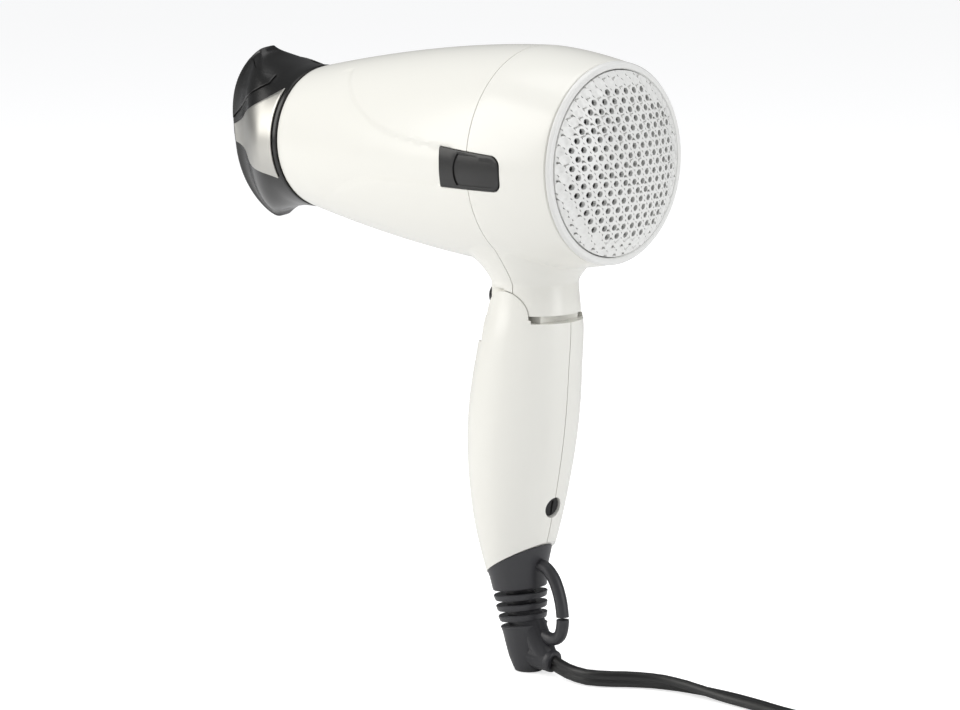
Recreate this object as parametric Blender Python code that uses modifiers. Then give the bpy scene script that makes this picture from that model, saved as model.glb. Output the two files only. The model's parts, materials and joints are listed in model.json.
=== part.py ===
"""Folding hair dryer with a push-on nozzle, modelled piece by piece in metres, +Z up.

The neck frame has its origin on the surface below the neck. The nozzle points to -X, the
intake grille to +X, and the fold axis runs along Y. The root empty moves the neck frame so
that the dryer stands centred over the world origin.
"""

import math

import bmesh
import bpy
from mathutils import Matrix, Vector

# ---------------------------------------------------------------- driving sizes, in metres
GAP = 0.0003  # between pieces that touch
WALL = 0.0022  # shell thickness

PIVOT_X = -0.0005
PIVOT_HEIGHT = 0.1245  # fold axis above the surface
BARREL_RISE = 0.0537  # barrel axis above the fold axis

BARREL_RADIUS = 0.0376
BARREL_CREST = 0.005  # where the barrel is widest
BARREL_FRONT = 0.100
BARREL_REAR = 0.034
FRONT_RADIUS = 0.0250
REAR_RADIUS = 0.0338
SEAM_X = 0.003  # plane that parts the front shell from the rear one
SPIGOT_STEP = 0.0035  # front rim down to the spigot
SPIGOT_LENGTH = 0.0070
SPIGOT_WALL = 0.0016

NECK_RADIUS = 0.0151
NECK_FOOT = 0.0013  # neck skin ends this far above the fold axis
TONGUE_HALF = 0.0128  # half width of the hinge tongue
DRUM_RADIUS = 0.0140
EAR_RADIUS = 0.0092
EAR_FRONT_GAP = 0.0010  # between an ear's top and the neck in front of it
EAR_FRONT_CUT = 0.0102  # ears stop this far in front of the fold axis
NOTCH_DEPTH = 0.0168  # open front of the handle, below the fold axis
PIN_RADIUS = 0.0030

HANDLE_RADIUS = 0.0190
HANDLE_FOOT = 0.0270  # lowest section of the handle's outline
HANDLE_SWEEP = 0.0078  # how far the handle's foot leans towards the nozzle
# height fraction from HANDLE_FOOT to the fold axis, and share of HANDLE_RADIUS
HANDLE_OUTLINE = (
    (0.00, 0.51), (0.06, 0.54), (0.144, 0.653), (0.236, 0.768), (0.338, 0.863),
    (0.472, 0.953), (0.585, 0.995), (0.697, 1.0), (0.831, 0.963), (0.944, 0.921),
    (1.036, 0.842), (1.11, 0.802),
)
HANDLE_END_ANGLE = math.radians(30)  # slanted lower edge
HANDLE_END_HEIGHT = 0.0378  # on the handle's centre line

RELIEF_TIP_X = -0.0024
RELIEF_LEAN = math.radians(8.7)
GROOVE_PITCH = 0.00366
GROOVE_WIDTH = 0.0014
GROOVE_COUNT = 4
GROOVE_TOP = 0.0279
RELIEF_CORE = 0.0058
STUB_RADIUS = 0.0062
LOOP_RADIUS = 0.0022
LEAD_RADIUS = 0.0010

CORD_WIDTH = 0.0055
CORD_THICKNESS = 0.0034
COIL_CENTRE = Vector((0.199, -0.010, 0))
COIL_MIDDLE = 0.0302  # radius at the middle of the turns
COIL_COLUMNS = 5  # the cord is wound on edge
COIL_LAYERS = 2

NOZZLE_LENGTH = 0.0415  # rim of the slot beyond the front shell, at mid height
NOZZLE_ARCH = 0.0156  # how far the slot's ends stay behind its middle
SLOT_HALF_HEIGHT = 0.0311
SLOT_HALF_WIDTH = 0.0065
SLOT_SQUARENESS = 4.0  # 2 is an ellipse, more is nearer a rectangle
NOZZLE_WALL = 0.0018
NOZZLE_TURN = math.radians(6.9)
PANEL_THICKNESS = 0.0007
PANEL_RISE = 0.0016  # sideways, on the slanting flank
PANEL_REAR_HALF = 0.0150  # half height at the round end
PANEL_FRONT_HALF = 0.0033

GRILLE_BULGE = 0.0070
GRILLE_RING_WIDTH = 0.0026
GRILLE_RING_DEPTH = 0.0018
HOLE_PITCH = 0.0078
HOLE_RADIUS = 0.0025
HOLE_SHIFT = (0.0011, 0.0007)  # from the dome's middle to the nearest hole, across and up

INSERT_REAR = 0.0166
INSERT_FRONT = -0.0095
INSERT_HALF_HEIGHT = 0.0066
INSERT_DROP = 0.0013  # below the barrel axis

BUTTON_RISE = 0.0049  # above the fold axis
BUTTON_RADIUS = 0.0044
BUTTON_TRAVEL = 0.0015

SLIDE_HEIGHT = 0.0760  # middle of the slide at rest
SLIDE_TRAVEL = 0.0120
SLIDE_HALF_WIDTH = 0.0050
SLIDE_HALF_LENGTH = 0.0075

DIAL_HEIGHT = 0.0585
DIAL_RADIUS = 0.0034
DIAL_TILT = math.radians(12)

MOTOR_RADIUS = 0.0145
MOTOR_FRONT = -0.022
MOTOR_REAR = 0.008
SHAFT_RADIUS = 0.0016
FAN_HUB_RADIUS = 0.0110
FAN_FRONT = 0.0125
FAN_REAR = 0.0225
FAN_BLADES = 9
HOUSING_FRONT = -0.018
HOUSING_REAR = 0.026
HEATER_FRONT = 0.096
HEATER_REAR = 0.034
COIL_WIRE = 0.0006

PLUG_WIDTH = 0.035
PLUG_LENGTH = 0.034
PLUG_THICKNESS = 0.014
PLUG_TAIL = 0.016
PLUG_TAIL_AHEAD = 0.023  # from the coil's middle to the end of the tail
PLUG_PIN_RADIUS = 0.0024
PLUG_PIN_SPACING = 0.019
PLUG_PIN_REACH = 0.019
PLUG_PIN_SEAT = 0.006

# ---------------------------------------------------------------- sizes that follow
AXIS_Z = PIVOT_HEIGHT + BARREL_RISE
NECK_X = (BARREL_FRONT + NOZZLE_LENGTH - BARREL_REAR - GRILLE_RING_DEPTH - GRILLE_BULGE) / 2
SPIGOT_RADIUS = FRONT_RADIUS - SPIGOT_STEP
SPIGOT_BORE = SPIGOT_RADIUS - SPIGOT_WALL
SPIGOT_END = BARREL_FRONT + SPIGOT_LENGTH
EAR_GAP = TONGUE_HALF + GAP
PIVOT = Vector((PIVOT_X, 0, PIVOT_HEIGHT))
COIL_HALF_WIDTH = COIL_COLUMNS * (CORD_THICKNESS + 0.0001) / 2
COIL_HEIGHT = COIL_LAYERS * (CORD_WIDTH + GAP)
NOZZLE_BASE = (SPIGOT_LENGTH + 2 * GAP) / NOZZLE_LENGTH  # share that stays round
NOZZLE_STATIONS = (0, NOZZLE_BASE, 0.38, 0.52, 0.66, 0.82, 1)

X_AXIS = Vector((1, 0, 0))
Y_AXIS = Vector((0, 1, 0))
Z_AXIS = Vector((0, 0, 1))

# The cord's route on the surface, from the strain relief to the coil.
CORD_ROUTE = (
    (0.0088, 0.0000, 0.0043), (0.0135, -0.0012, 0.0036), (0.0193, -0.0027, 0.0031),
    (0.0265, -0.0030, 0.0029), (0.0330, -0.0001, 0.0029), (0.0385, 0.0042, 0.0029),
    (0.0465, 0.0088, 0.0029), (0.0556, 0.0112, 0.0029), (0.0665, 0.0122, 0.0029),
    (0.0786, 0.0120, 0.0029), (0.0902, 0.0108, 0.0029), (0.1010, 0.0092, 0.0029),
    (0.1200, 0.0084, 0.0029), (0.1380, 0.0108, 0.0029), (0.1560, 0.0176, 0.0029),
    (0.1680, 0.0234, 0.0029), (0.1780, 0.0264, 0.0029),
)


# ---------------------------------------------------------------- scene and materials
def clear_scene():
    for obj in list(bpy.data.objects):
        bpy.data.objects.remove(obj)


def new_collection(name):
    collection = bpy.data.collections.new(name)
    bpy.context.scene.collection.children.link(collection)
    return collection


def material(name, colour, roughness, metallic=0.0):
    made = bpy.data.materials.new(name)
    made.use_nodes = True
    shader = made.node_tree.nodes["Principled BSDF"]
    shader.inputs["Base Color"].default_value = (*colour, 1)
    shader.inputs["Roughness"].default_value = roughness
    shader.inputs["Metallic"].default_value = metallic
    return made


def empty(name, location, parent=None):
    made = bpy.data.objects.new(name, None)
    made.empty_display_size = 0.01
    made.location = location
    made.parent = parent
    if parent is not None and parent is not ROOT:
        made.matrix_parent_inverse = Matrix.Translation(-parent.location)
    GUIDES.objects.link(made)
    return made


def place(obj, parent):
    """Parents an object given in the neck frame to an empty, which may be a joint's."""
    obj.parent = parent
    if parent is not ROOT:
        obj.matrix_parent_inverse = Matrix.Translation(-parent.location)
    return obj


def mesh_object(name, mesh, finish, parent):
    obj = bpy.data.objects.new(name, mesh)
    if finish is None:
        GUIDES.objects.link(obj)
        obj.hide_render = True
        obj.display_type = "WIRE"
    else:
        PARTS.objects.link(obj)
        mesh.materials.append(finish)
    return place(obj, parent)


def from_bmesh(name, bm, finish, parent):
    mesh = bpy.data.meshes.new(name)
    bm.to_mesh(mesh)
    bm.free()
    return mesh_object(name, mesh, finish, parent)


# ---------------------------------------------------------------- shapes
def add_box(bm, low, high, turn=Matrix()):
    low, high = Vector(low), Vector(high)
    size = high - low
    matrix = Matrix.Translation((low + high) / 2) @ turn @ Matrix.Diagonal((*size, 1))
    bmesh.ops.create_cube(bm, size=1, matrix=matrix)


def add_rod(bm, start, end, radius, sides=20, end_radius=None):
    start, end = Vector(start), Vector(end)
    run = end - start
    matrix = Matrix.Translation((start + end) / 2) @ run.to_track_quat("Z", "Y").to_matrix().to_4x4()
    bmesh.ops.create_cone(
        bm, cap_ends=True, segments=sides, radius1=radius,
        radius2=radius if end_radius is None else end_radius, depth=run.length, matrix=matrix,
    )


def box(name, low, high, finish=None, parent=None, turn=Matrix()):
    bm = bmesh.new()
    add_box(bm, low, high, turn)
    return from_bmesh(name, bm, finish, parent or ROOT)


def rod(name, start, end, radius, finish=None, parent=None, sides=20, end_radius=None):
    bm = bmesh.new()
    add_rod(bm, start, end, radius, sides, end_radius)
    return from_bmesh(name, bm, finish, parent or ROOT)


def turned(name, profile, origin, direction, finish=None, parent=None, steps=32, ring=False):
    """Turns (radius, height) points, which run down the outer side, about an axis."""
    mesh = bpy.data.meshes.new(name)
    count = len(profile)
    edges = [(i, i + 1) for i in range(count - 1)] + ([(count - 1, 0)] if ring else [])
    mesh.from_pydata([(radius, 0, height) for radius, height in profile], edges, [])
    obj = mesh_object(name, mesh, finish, parent or ROOT)
    obj.location = origin
    obj.rotation_mode = "QUATERNION"
    obj.rotation_quaternion = Vector(direction).to_track_quat("Z", "Y")
    screw = obj.modifiers.new("turn", "SCREW")
    screw.axis = "Z"
    screw.steps = screw.render_steps = steps
    screw.use_merge_vertices = True
    screw.merge_threshold = 0.00001
    screw.use_smooth_shade = True
    return obj


def tube(name, points, radii, finish=None, parent=None, roundness=2):
    """A closed tube along points, as a mesh that takes Booleans."""
    data = bpy.data.curves.new(name, "CURVE")
    data.dimensions = "3D"
    data.bevel_depth = 1.0
    data.bevel_resolution = roundness
    data.use_fill_caps = True
    spline = data.splines.new("POLY")
    spline.points.add(len(points) - 1)
    for target, point, radius in zip(spline.points, points, radii):
        target.co = (*point, 1)
        target.radius = radius
    guide = bpy.data.objects.new(name + "_path", data)
    GUIDES.objects.link(guide)
    bpy.context.view_layer.update()
    mesh = bpy.data.meshes.new_from_object(
        guide.evaluated_get(bpy.context.evaluated_depsgraph_get())
    )
    bpy.data.objects.remove(guide)
    bm = bmesh.new()
    bm.from_mesh(mesh)
    bmesh.ops.remove_doubles(bm, verts=bm.verts, dist=0.000001)
    bm.to_mesh(mesh)
    bm.free()
    mesh.name = name
    mesh.materials.clear()
    return mesh_object(name, mesh, finish, parent or ROOT)


def smooth_path(route, spacing):
    """Points about spacing apart on a smooth curve through the route's points."""
    route = [Vector(point) for point in route]
    ends = [2 * route[0] - route[1]] + route + [2 * route[-1] - route[-2]]
    fine = []
    for a, b, c, d in zip(ends, ends[1:], ends[2:], ends[3:]):
        for step in range(12):
            t = step / 12
            fine.append(
                0.5 * (2 * b + (c - a) * t + (2 * a - 5 * b + 4 * c - d) * t * t
                       + (3 * b - a - 3 * c + d) * t * t * t)
            )
    fine.append(route[-1])
    length = sum((q - p).length for p, q in zip(fine, fine[1:]))
    count = max(2, round(length / spacing))
    points, walked, target = [fine[0]], 0.0, length / count
    for p, q in zip(fine, fine[1:]):
        step = (q - p).length
        while walked + step >= target * len(points) and len(points) < count:
            points.append(p.lerp(q, (target * len(points) - walked) / step))
        walked += step
    return points + [fine[-1]]


def combine(obj, kind, tools):
    for tool in tools:
        boolean = obj.modifiers.new(f"{kind.lower()} {tool.name}", "BOOLEAN")
        boolean.operation = kind
        boolean.object = tool
    return obj


def cut(obj, *tools):
    return combine(obj, "DIFFERENCE", tools)


def join(obj, *tools):
    return combine(obj, "UNION", tools)


def keep(obj, *tools):
    return combine(obj, "INTERSECT", tools)


def twin(source, name, finish, parent):
    """A piece on the same mesh as source, with source's modifiers so far."""
    obj = mesh_object(name, source.data.copy(), finish, parent)
    obj.matrix_basis = source.matrix_basis
    for modifier in source.modifiers:
        copied = obj.modifiers.new(modifier.name, modifier.type)
        for key in ("operation", "object") if modifier.type == "BOOLEAN" else (
            "axis", "steps", "render_steps", "use_merge_vertices", "merge_threshold", "use_smooth_shade",
        ):
            setattr(copied, key, getattr(modifier, key))
    return obj


# ---------------------------------------------------------------- outlines
def barrel_radius(x):
    if x < BARREL_CREST:
        share = (BARREL_CREST - x) / (BARREL_CREST + BARREL_FRONT)
        return BARREL_RADIUS - (BARREL_RADIUS - FRONT_RADIUS) * share**1.7
    share = (x - BARREL_CREST) / (BARREL_REAR - BARREL_CREST)
    return BARREL_RADIUS - (BARREL_RADIUS - REAR_RADIUS) * share**1.6


def housing_radius():
    """Outside of the motor housing, clear of the rear shell's narrow end."""
    return barrel_radius(HOUSING_REAR) - WALL - 0.0012


def barrel_line(front, rear, offset, steps):
    """(radius, x) points from rear to front, offset from the barrel's skin."""
    xs = [rear + (front - rear) * step / steps for step in range(steps + 1)]
    return [(barrel_radius(max(-BARREL_FRONT, min(BARREL_REAR, x))) + offset, x) for x in xs]


def handle_centre(fraction):
    height = HANDLE_FOOT + fraction * (PIVOT_HEIGHT - HANDLE_FOOT)
    lean = HANDLE_SWEEP * (1 - min(fraction, 1.0) ** 2)
    return Vector((PIVOT_X - lean, 0, height))


def handle_at(height):
    """(centre x, radius) of the handle's skin at a height."""
    fraction = (height - HANDLE_FOOT) / (PIVOT_HEIGHT - HANDLE_FOOT)
    for (low, small), (high, large) in zip(HANDLE_OUTLINE, HANDLE_OUTLINE[1:]):
        if fraction <= high:
            share = small + (large - small) * (fraction - low) / (high - low)
            break
    return handle_centre(fraction).x, share * HANDLE_RADIUS


def slanted_box(name, height_offset, above):
    """A block whose face is the handle's slanted lower edge, moved by height_offset."""
    size = 0.08
    turn = Matrix.Rotation(-HANDLE_END_ANGLE, 4, "Y")
    anchor = Vector((PIVOT_X - HANDLE_SWEEP, 0, HANDLE_END_HEIGHT + height_offset))
    centre = anchor + turn @ Vector((0, 0, size / 2 if above else -size / 2))
    half = Vector((size, size, size)) / 2
    return box(name, centre - half, centre + half, turn=turn)


# ---------------------------------------------------------------- barrel and neck
def build_shells():
    """The barrel and neck, parted across the barrel into a front and a rear shell."""
    skin = barrel_line(-BARREL_FRONT, BARREL_REAR, 0, 9)
    form = turned(
        "barrel_form",
        [(0, BARREL_REAR)] + skin
        + [(SPIGOT_RADIUS, -BARREL_FRONT), (SPIGOT_RADIUS, -SPIGOT_END), (0, -SPIGOT_END)],
        (0, 0, AXIS_Z), X_AXIS, parent=FOLD, steps=40,
    )
    inner = barrel_line(-BARREL_FRONT + WALL, BARREL_REAR - 0.004, -WALL, 6)
    seat = REAR_RADIUS - 0.0016
    hollow = turned(
        "barrel_hollow",
        [(0, BARREL_REAR + 0.001), (seat, BARREL_REAR + 0.001), (seat, BARREL_REAR - 0.0036)] + inner
        + [(SPIGOT_BORE, -BARREL_FRONT + WALL), (SPIGOT_BORE, -SPIGOT_END - 0.001), (0, -SPIGOT_END - 0.001)],
        (0, 0, AXIS_Z), X_AXIS, parent=FOLD, steps=40,
    )
    neck = build_neck_form()
    wire_bore = rod("wire_bore", (SEAM_X, 0, PIVOT_HEIGHT - DRUM_RADIUS - 0.002),
                    (SEAM_X, 0, PIVOT_HEIGHT + 0.019), 0.005, parent=FOLD)
    neck_bore = rod("neck_bore", PIVOT + Vector((0, 0, 0.0165)), PIVOT + Vector((0, 0, 0.03)),
                    NECK_RADIUS - 0.0028, parent=FOLD, sides=24)
    pin_bore = rod("pin_bore", PIVOT - 0.02 * Y_AXIS, PIVOT + 0.02 * Y_AXIS, PIN_RADIUS + GAP, parent=FOLD)
    pin_web = rod("pin_web", PIVOT - 0.0085 * Y_AXIS, PIVOT + 0.0085 * Y_AXIS, PIN_RADIUS + 0.001, parent=FOLD)
    button_bores = build_button_bores()
    pockets = build_insert_pockets()

    join(form, neck)
    cut(form, hollow, neck_bore, wire_bore)
    cut(pin_bore, pin_web)
    cut(form, pin_bore)
    far = 0.3
    front_half = box("front_half", (-far, -far, 0), (SEAM_X - GAP / 2, far, far), parent=FOLD)
    rear_half = box("rear_half", (SEAM_X + GAP / 2, -far, 0), (far, far, far), parent=FOLD)
    front = twin(form, "front_shell", PEARL, FOLD)
    rear = twin(form, "rear_shell", PEARL, FOLD)
    cut(front, *button_bores)
    cut(front, *pockets)
    cut(rear, *pockets)
    keep(front, front_half)
    keep(rear, rear_half)


def build_neck_form():
    """The neck's skin with the hinge tongue and its drum below it."""
    rises = (
        (NECK_FOOT, 1.053), (0.005, 1.035), (0.0085, 1.005), (0.012, 1.0), (0.0145, 1.06),
        (0.017, 1.21), (0.019, 1.35), (0.024, 1.55),
    )
    points = [PIVOT + Vector((0, 0, rise)) for rise, _ in rises]
    neck = tube("neck_form", points, [share * NECK_RADIUS for _, share in rises], parent=FOLD, roundness=10)
    reach = EAR_RADIUS + GAP
    wide = 0.03
    for side in (-1, 1):
        word = "left" if side < 0 else "right"
        inner, outer = side * TONGUE_HALF, side * wide
        ear_room = rod(f"ear_room_{word}", PIVOT + inner * Y_AXIS, PIVOT + outer * Y_AXIS, reach,
                       parent=FOLD, sides=40)
        low = PIVOT + Vector((-wide, min(inner, outer), -0.01))
        high = PIVOT + Vector((0, max(inner, outer), EAR_RADIUS + EAR_FRONT_GAP))
        front_room = box(f"front_room_{word}", low, high, parent=FOLD)
        cut(neck, ear_room, front_room)
    drum = rod("tongue_drum", PIVOT - TONGUE_HALF * Y_AXIS, PIVOT + TONGUE_HALF * Y_AXIS, DRUM_RADIUS,
               parent=FOLD, sides=36)
    round_off = rod("drum_round", PIVOT - 0.02 * Z_AXIS, PIVOT + 0.02 * Z_AXIS, NECK_RADIUS * 1.053,
                    parent=FOLD, sides=36)
    return join(neck, keep(drum, round_off))


def build_button_bores():
    height = PIVOT_HEIGHT + BUTTON_RISE
    mouth = rod("button_mouth", (PIVOT_X - 0.03, 0, height), (PIVOT_X - 0.01, 0, height),
                BUTTON_RADIUS + GAP, parent=FOLD)
    chamber = rod("button_chamber", (PIVOT_X - 0.0135, 0, height), (PIVOT_X - 0.0032, 0, height),
                  BUTTON_RADIUS + 0.0017, parent=FOLD)
    return mouth, chamber


def insert_outline(bm, side, margin):
    """A prism with the side insert's outline: straight in front, round behind."""
    height = 2 * (INSERT_HALF_HEIGHT + margin)
    low = AXIS_Z - INSERT_DROP - height / 2
    front = INSERT_FRONT - margin
    rear = INSERT_REAR + margin
    steps = 8
    corners = [(front, low), (rear - height * 0.42, low)]
    for step in range(1, steps):
        angle = -math.pi / 2 + math.pi * step / steps
        corners.append((
            rear - height * 0.42 + height * 0.42 * math.cos(angle),
            low + height / 2 * 0.96 + height / 2 * math.sin(angle) * 0.86,
        ))
    corners += [(rear - height * 0.42, low + height * 0.93), (front, low + height)]
    verts = [bm.verts.new((x, side * 0.02, z)) for x, z in corners]
    face = bm.faces.new(verts)
    grown = bmesh.ops.extrude_face_region(bm, geom=[face])["geom"]
    moved = [item for item in grown if isinstance(item, bmesh.types.BMVert)]
    bmesh.ops.translate(bm, verts=moved, vec=(0, side * 0.03, 0))
    bmesh.ops.recalc_face_normals(bm, faces=bm.faces)


def insert_layer(name, low, high, finish=None):
    line = barrel_line(INSERT_FRONT - 0.004, INSERT_REAR + 0.004, 0, 5)
    profile = [(radius + high, x) for radius, x in line] + [(radius + low, x) for radius, x in reversed(line)]
    return turned(name, profile, (0, 0, AXIS_Z), X_AXIS, finish, FOLD, steps=56, ring=True)


def build_insert_pockets():
    pockets = []
    for side, word in ((-1, "left"), (1, "right")):
        bm = bmesh.new()
        insert_outline(bm, side, GAP)
        outline = from_bmesh(f"pocket_outline_{word}", bm, None, FOLD)
        pockets.append(keep(insert_layer(f"pocket_{word}", -0.0011, 0.002), outline))
    return pockets


def build_inserts():
    for side, word in ((-1, "left"), (1, "right")):
        bm = bmesh.new()
        insert_outline(bm, side, 0)
        outline = from_bmesh(f"insert_outline_{word}", bm, None, FOLD)
        keep(insert_layer(f"side_insert_{word}", -0.0011 + GAP, 0.0003, PIANO_BLACK), outline)


# ---------------------------------------------------------------- intake end
def build_grille():
    edge = REAR_RADIUS - GRILLE_RING_WIDTH
    start = BARREL_REAR + GAP
    spigot = REAR_RADIUS - 0.0016 - GAP
    end = start + GRILLE_RING_DEPTH
    turned(
        "grille_ring",
        [(edge, end), (REAR_RADIUS - 0.0005, end), (REAR_RADIUS, end - 0.0006), (REAR_RADIUS, start),
         (spigot, start), (spigot, BARREL_REAR - 0.003), (edge, BARREL_REAR - 0.003)],
        (0, 0, AXIS_Z), X_AXIS, WHITE, FOLD, steps=40, ring=True,
    )
    rim = edge - GAP
    sphere = (rim**2 + GRILLE_BULGE**2) / (2 * GRILLE_BULGE)
    thickness = 0.0015
    outer = []
    steps = 4
    for step in range(steps + 1):
        radius = rim * step / steps
        outer.append((radius, end + GRILLE_BULGE - sphere + math.sqrt(sphere**2 - radius**2)))
    inner = [(radius, x - thickness) for radius, x in reversed(outer)]
    dome = turned("rear_grille", outer + inner, (0, 0, AXIS_Z), X_AXIS, WHITE, FOLD, steps=24)
    bm = bmesh.new()
    rows = int(rim / (HOLE_PITCH * math.sqrt(0.75)))
    for row in range(-rows, rows + 1):
        for column in range(-rows - 1, rows + 2):
            y = (column + (row % 2) / 2) * HOLE_PITCH + HOLE_SHIFT[0]
            z = row * HOLE_PITCH * math.sqrt(0.75) + HOLE_SHIFT[1]
            if math.hypot(y, z) < rim - HOLE_RADIUS - 0.0030:
                add_rod(bm, (start - 0.003, y, AXIS_Z + z), (end + 0.02, y, AXIS_Z + z), HOLE_RADIUS, 6)
    cut(dome, from_bmesh("grille_holes", bm, None, FOLD))
    turned(
        "intake_filter",
        [(0, 0.0290), (edge - 0.001, 0.0290), (edge - 0.001, 0.0280), (0, 0.0280)],
        (0, 0, AXIS_Z), X_AXIS, MESH_GREY, FOLD, steps=24,
    )


# ---------------------------------------------------------------- motor, fan and heater
def build_motor():
    bore = SHAFT_RADIUS + GAP
    turned(
        "motor_can",
        [(0, MOTOR_REAR - 0.012), (bore, MOTOR_REAR - 0.012), (bore, MOTOR_REAR), (0.006, MOTOR_REAR),
         (0.006, MOTOR_REAR - 0.002), (MOTOR_RADIUS, MOTOR_REAR - 0.003), (MOTOR_RADIUS, MOTOR_FRONT),
         (0, MOTOR_FRONT)],
        (0, 0, AXIS_Z), X_AXIS, STEEL, FOLD, steps=24,
    )
    shaft_front = MOTOR_REAR - 0.012 + GAP
    rod("motor_shaft", (shaft_front, 0, AXIS_Z), (FAN_REAR - 0.001, 0, AXIS_Z), SHAFT_RADIUS, STEEL, SPIN, 12)
    bore_radius = housing_radius() - 0.0014
    hub = turned(
        "fan",
        [(0, FAN_REAR), (FAN_HUB_RADIUS * 0.7, FAN_REAR), (FAN_HUB_RADIUS, FAN_REAR - 0.003),
         (FAN_HUB_RADIUS, FAN_FRONT), (bore, FAN_FRONT), (bore, FAN_REAR - 0.001 + GAP),
         (0, FAN_REAR - 0.001 + GAP)],
        (0, 0, AXIS_Z), X_AXIS, FAN_GREY, SPIN, steps=24,
    )
    bm = bmesh.new()
    middle = (FAN_FRONT + FAN_REAR) / 2
    tip = bore_radius - 0.0010
    for blade in range(FAN_BLADES):
        around = Matrix.Rotation(2 * math.pi * blade / FAN_BLADES, 4, "X")
        pitch = Matrix.Rotation(math.radians(38), 4, "Z")
        centre = Matrix.Translation((middle, 0, AXIS_Z)) @ around @ Matrix.Translation(
            (0, 0, (FAN_HUB_RADIUS - 0.001 + tip) / 2))
        size = Matrix.Diagonal((0.0105, 0.0011, tip - FAN_HUB_RADIUS + 0.001, 1))
        bmesh.ops.create_cube(bm, size=1, matrix=centre @ pitch @ size)
    join(hub, from_bmesh("fan_blades", bm, None, SPIN))
    seat = MOTOR_RADIUS + GAP
    housing = turned(
        "motor_housing",
        [(housing_radius(), HOUSING_REAR), (housing_radius(), HOUSING_FRONT), (bore_radius, HOUSING_FRONT),
         (bore_radius, HOUSING_REAR)],
        (0, 0, AXIS_Z), X_AXIS, FAN_GREY, FOLD, steps=32, ring=True,
    )
    cup = turned(
        "motor_cup",
        [(seat + 0.0012, 0.004), (seat + 0.0012, -0.016), (seat, -0.016), (seat, 0.004)],
        (0, 0, AXIS_Z), X_AXIS, parent=FOLD, steps=24, ring=True,
    )
    bm = bmesh.new()
    inner, outer = seat + 0.0006, bore_radius + 0.0007
    for vane in range(7):
        around = Matrix.Rotation(2 * math.pi * vane / 7, 4, "X")
        centre = Matrix.Translation((-0.006, 0, AXIS_Z)) @ around @ Matrix.Translation((0, 0, (inner + outer) / 2))
        pitch = Matrix.Rotation(math.radians(-18), 4, "Z")
        size = Matrix.Diagonal((0.014, 0.0011, outer - inner, 1))
        bmesh.ops.create_cube(bm, size=1, matrix=centre @ pitch @ size)
    vanes = from_bmesh("guide_vanes", bm, None, FOLD)
    join(housing, vanes, cup)
    bm = bmesh.new()
    board = MOTOR_FRONT - GAP
    add_rod(bm, (board - 0.0016, 0, AXIS_Z), (board, 0, AXIS_Z), MOTOR_RADIUS - 0.0015, 24)
    plate = from_bmesh("rectifier_board", bm, BOARD, FOLD)
    bm = bmesh.new()
    for y, z in ((-0.006, 0.0055), (0.006, 0.0055), (-0.006, -0.0055), (0.006, -0.0055)):
        add_box(bm, (board - 0.0045, y - 0.0022, AXIS_Z + z - 0.0014),
                (board - 0.0010, y + 0.0022, AXIS_Z + z + 0.0014))
    join(plate, from_bmesh("diodes", bm, None, FOLD))


def build_heater():
    sleeve = SPIGOT_BORE - GAP
    turned(
        "heater_sleeve",
        [(sleeve, -HEATER_REAR), (sleeve, -HEATER_FRONT), (sleeve - 0.0007, -HEATER_FRONT),
         (sleeve - 0.0007, -HEATER_REAR)],
        (0, 0, AXIS_Z), X_AXIS, MICA, FOLD, steps=32, ring=True,
    )
    wire_middle = sleeve - 0.0007 - 2 * COIL_WIRE
    turns, per_turn, pitch = 3, 12, 0.0055
    board = wire_middle * math.cos(math.pi / per_turn) - COIL_WIRE - GAP
    frame = box("heater_frame", (-HEATER_FRONT + 0.003, -board, AXIS_Z - 0.0004),
                (-HEATER_REAR - 0.002, board, AXIS_Z + 0.0004), MICA, FOLD)
    upright = box("heater_upright", (-HEATER_FRONT + 0.003, -0.0004, AXIS_Z - board),
                  (-HEATER_REAR - 0.002, 0.0004, AXIS_Z + board), parent=FOLD)
    join(frame, upright)
    for name, start in (("heating_coil_front", -0.088), ("heating_coil_rear", -0.062)):
        points = []
        for step in range(turns * per_turn + 1):
            angle = 2 * math.pi * step / per_turn
            points.append((start + pitch * step / per_turn, wire_middle * math.cos(angle),
                           AXIS_Z + wire_middle * math.sin(angle)))
        tube(name, points, [COIL_WIRE] * len(points), NICHROME, FOLD, 1)
    box("thermostat", (-0.050, 0.003, AXIS_Z + 0.003), (-0.039, 0.0095, AXIS_Z + 0.0095), STEEL, FOLD)
    rod("thermal_fuse", (-0.066, -0.0055, AXIS_Z + 0.0055), (-0.055, -0.0055, AXIS_Z + 0.0055), 0.0019,
        STEEL, FOLD, 12)
    grid_front, grid_rear = -SPIGOT_END + 0.0010, -SPIGOT_END + 0.0035
    outer_ring = turned(
        "outlet_grille",
        [(sleeve, grid_rear), (sleeve, grid_front), (sleeve - 0.0016, grid_front), (sleeve - 0.0016, grid_rear)],
        (0, 0, AXIS_Z), X_AXIS, HEAT_BLACK, FOLD, steps=24, ring=True,
    )
    radius = sleeve * 0.52
    inner_ring = turned(
        "outlet_inner_ring",
        [(radius, grid_rear), (radius, grid_front), (radius - 0.0011, grid_front), (radius - 0.0011, grid_rear)],
        (0, 0, AXIS_Z), X_AXIS, parent=FOLD, steps=18, ring=True,
    )
    join(outer_ring, inner_ring)
    for number in range(3):
        turn = Matrix.Rotation(math.pi * number / 3, 4, "X")
        bar = box(f"outlet_bar_{number}", (grid_front + 0.0003, -0.0006, AXIS_Z - sleeve + 0.0004),
                  (grid_rear - 0.0003, 0.0006, AXIS_Z + sleeve - 0.0004), parent=FOLD, turn=turn)
        join(outer_ring, bar)


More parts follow.
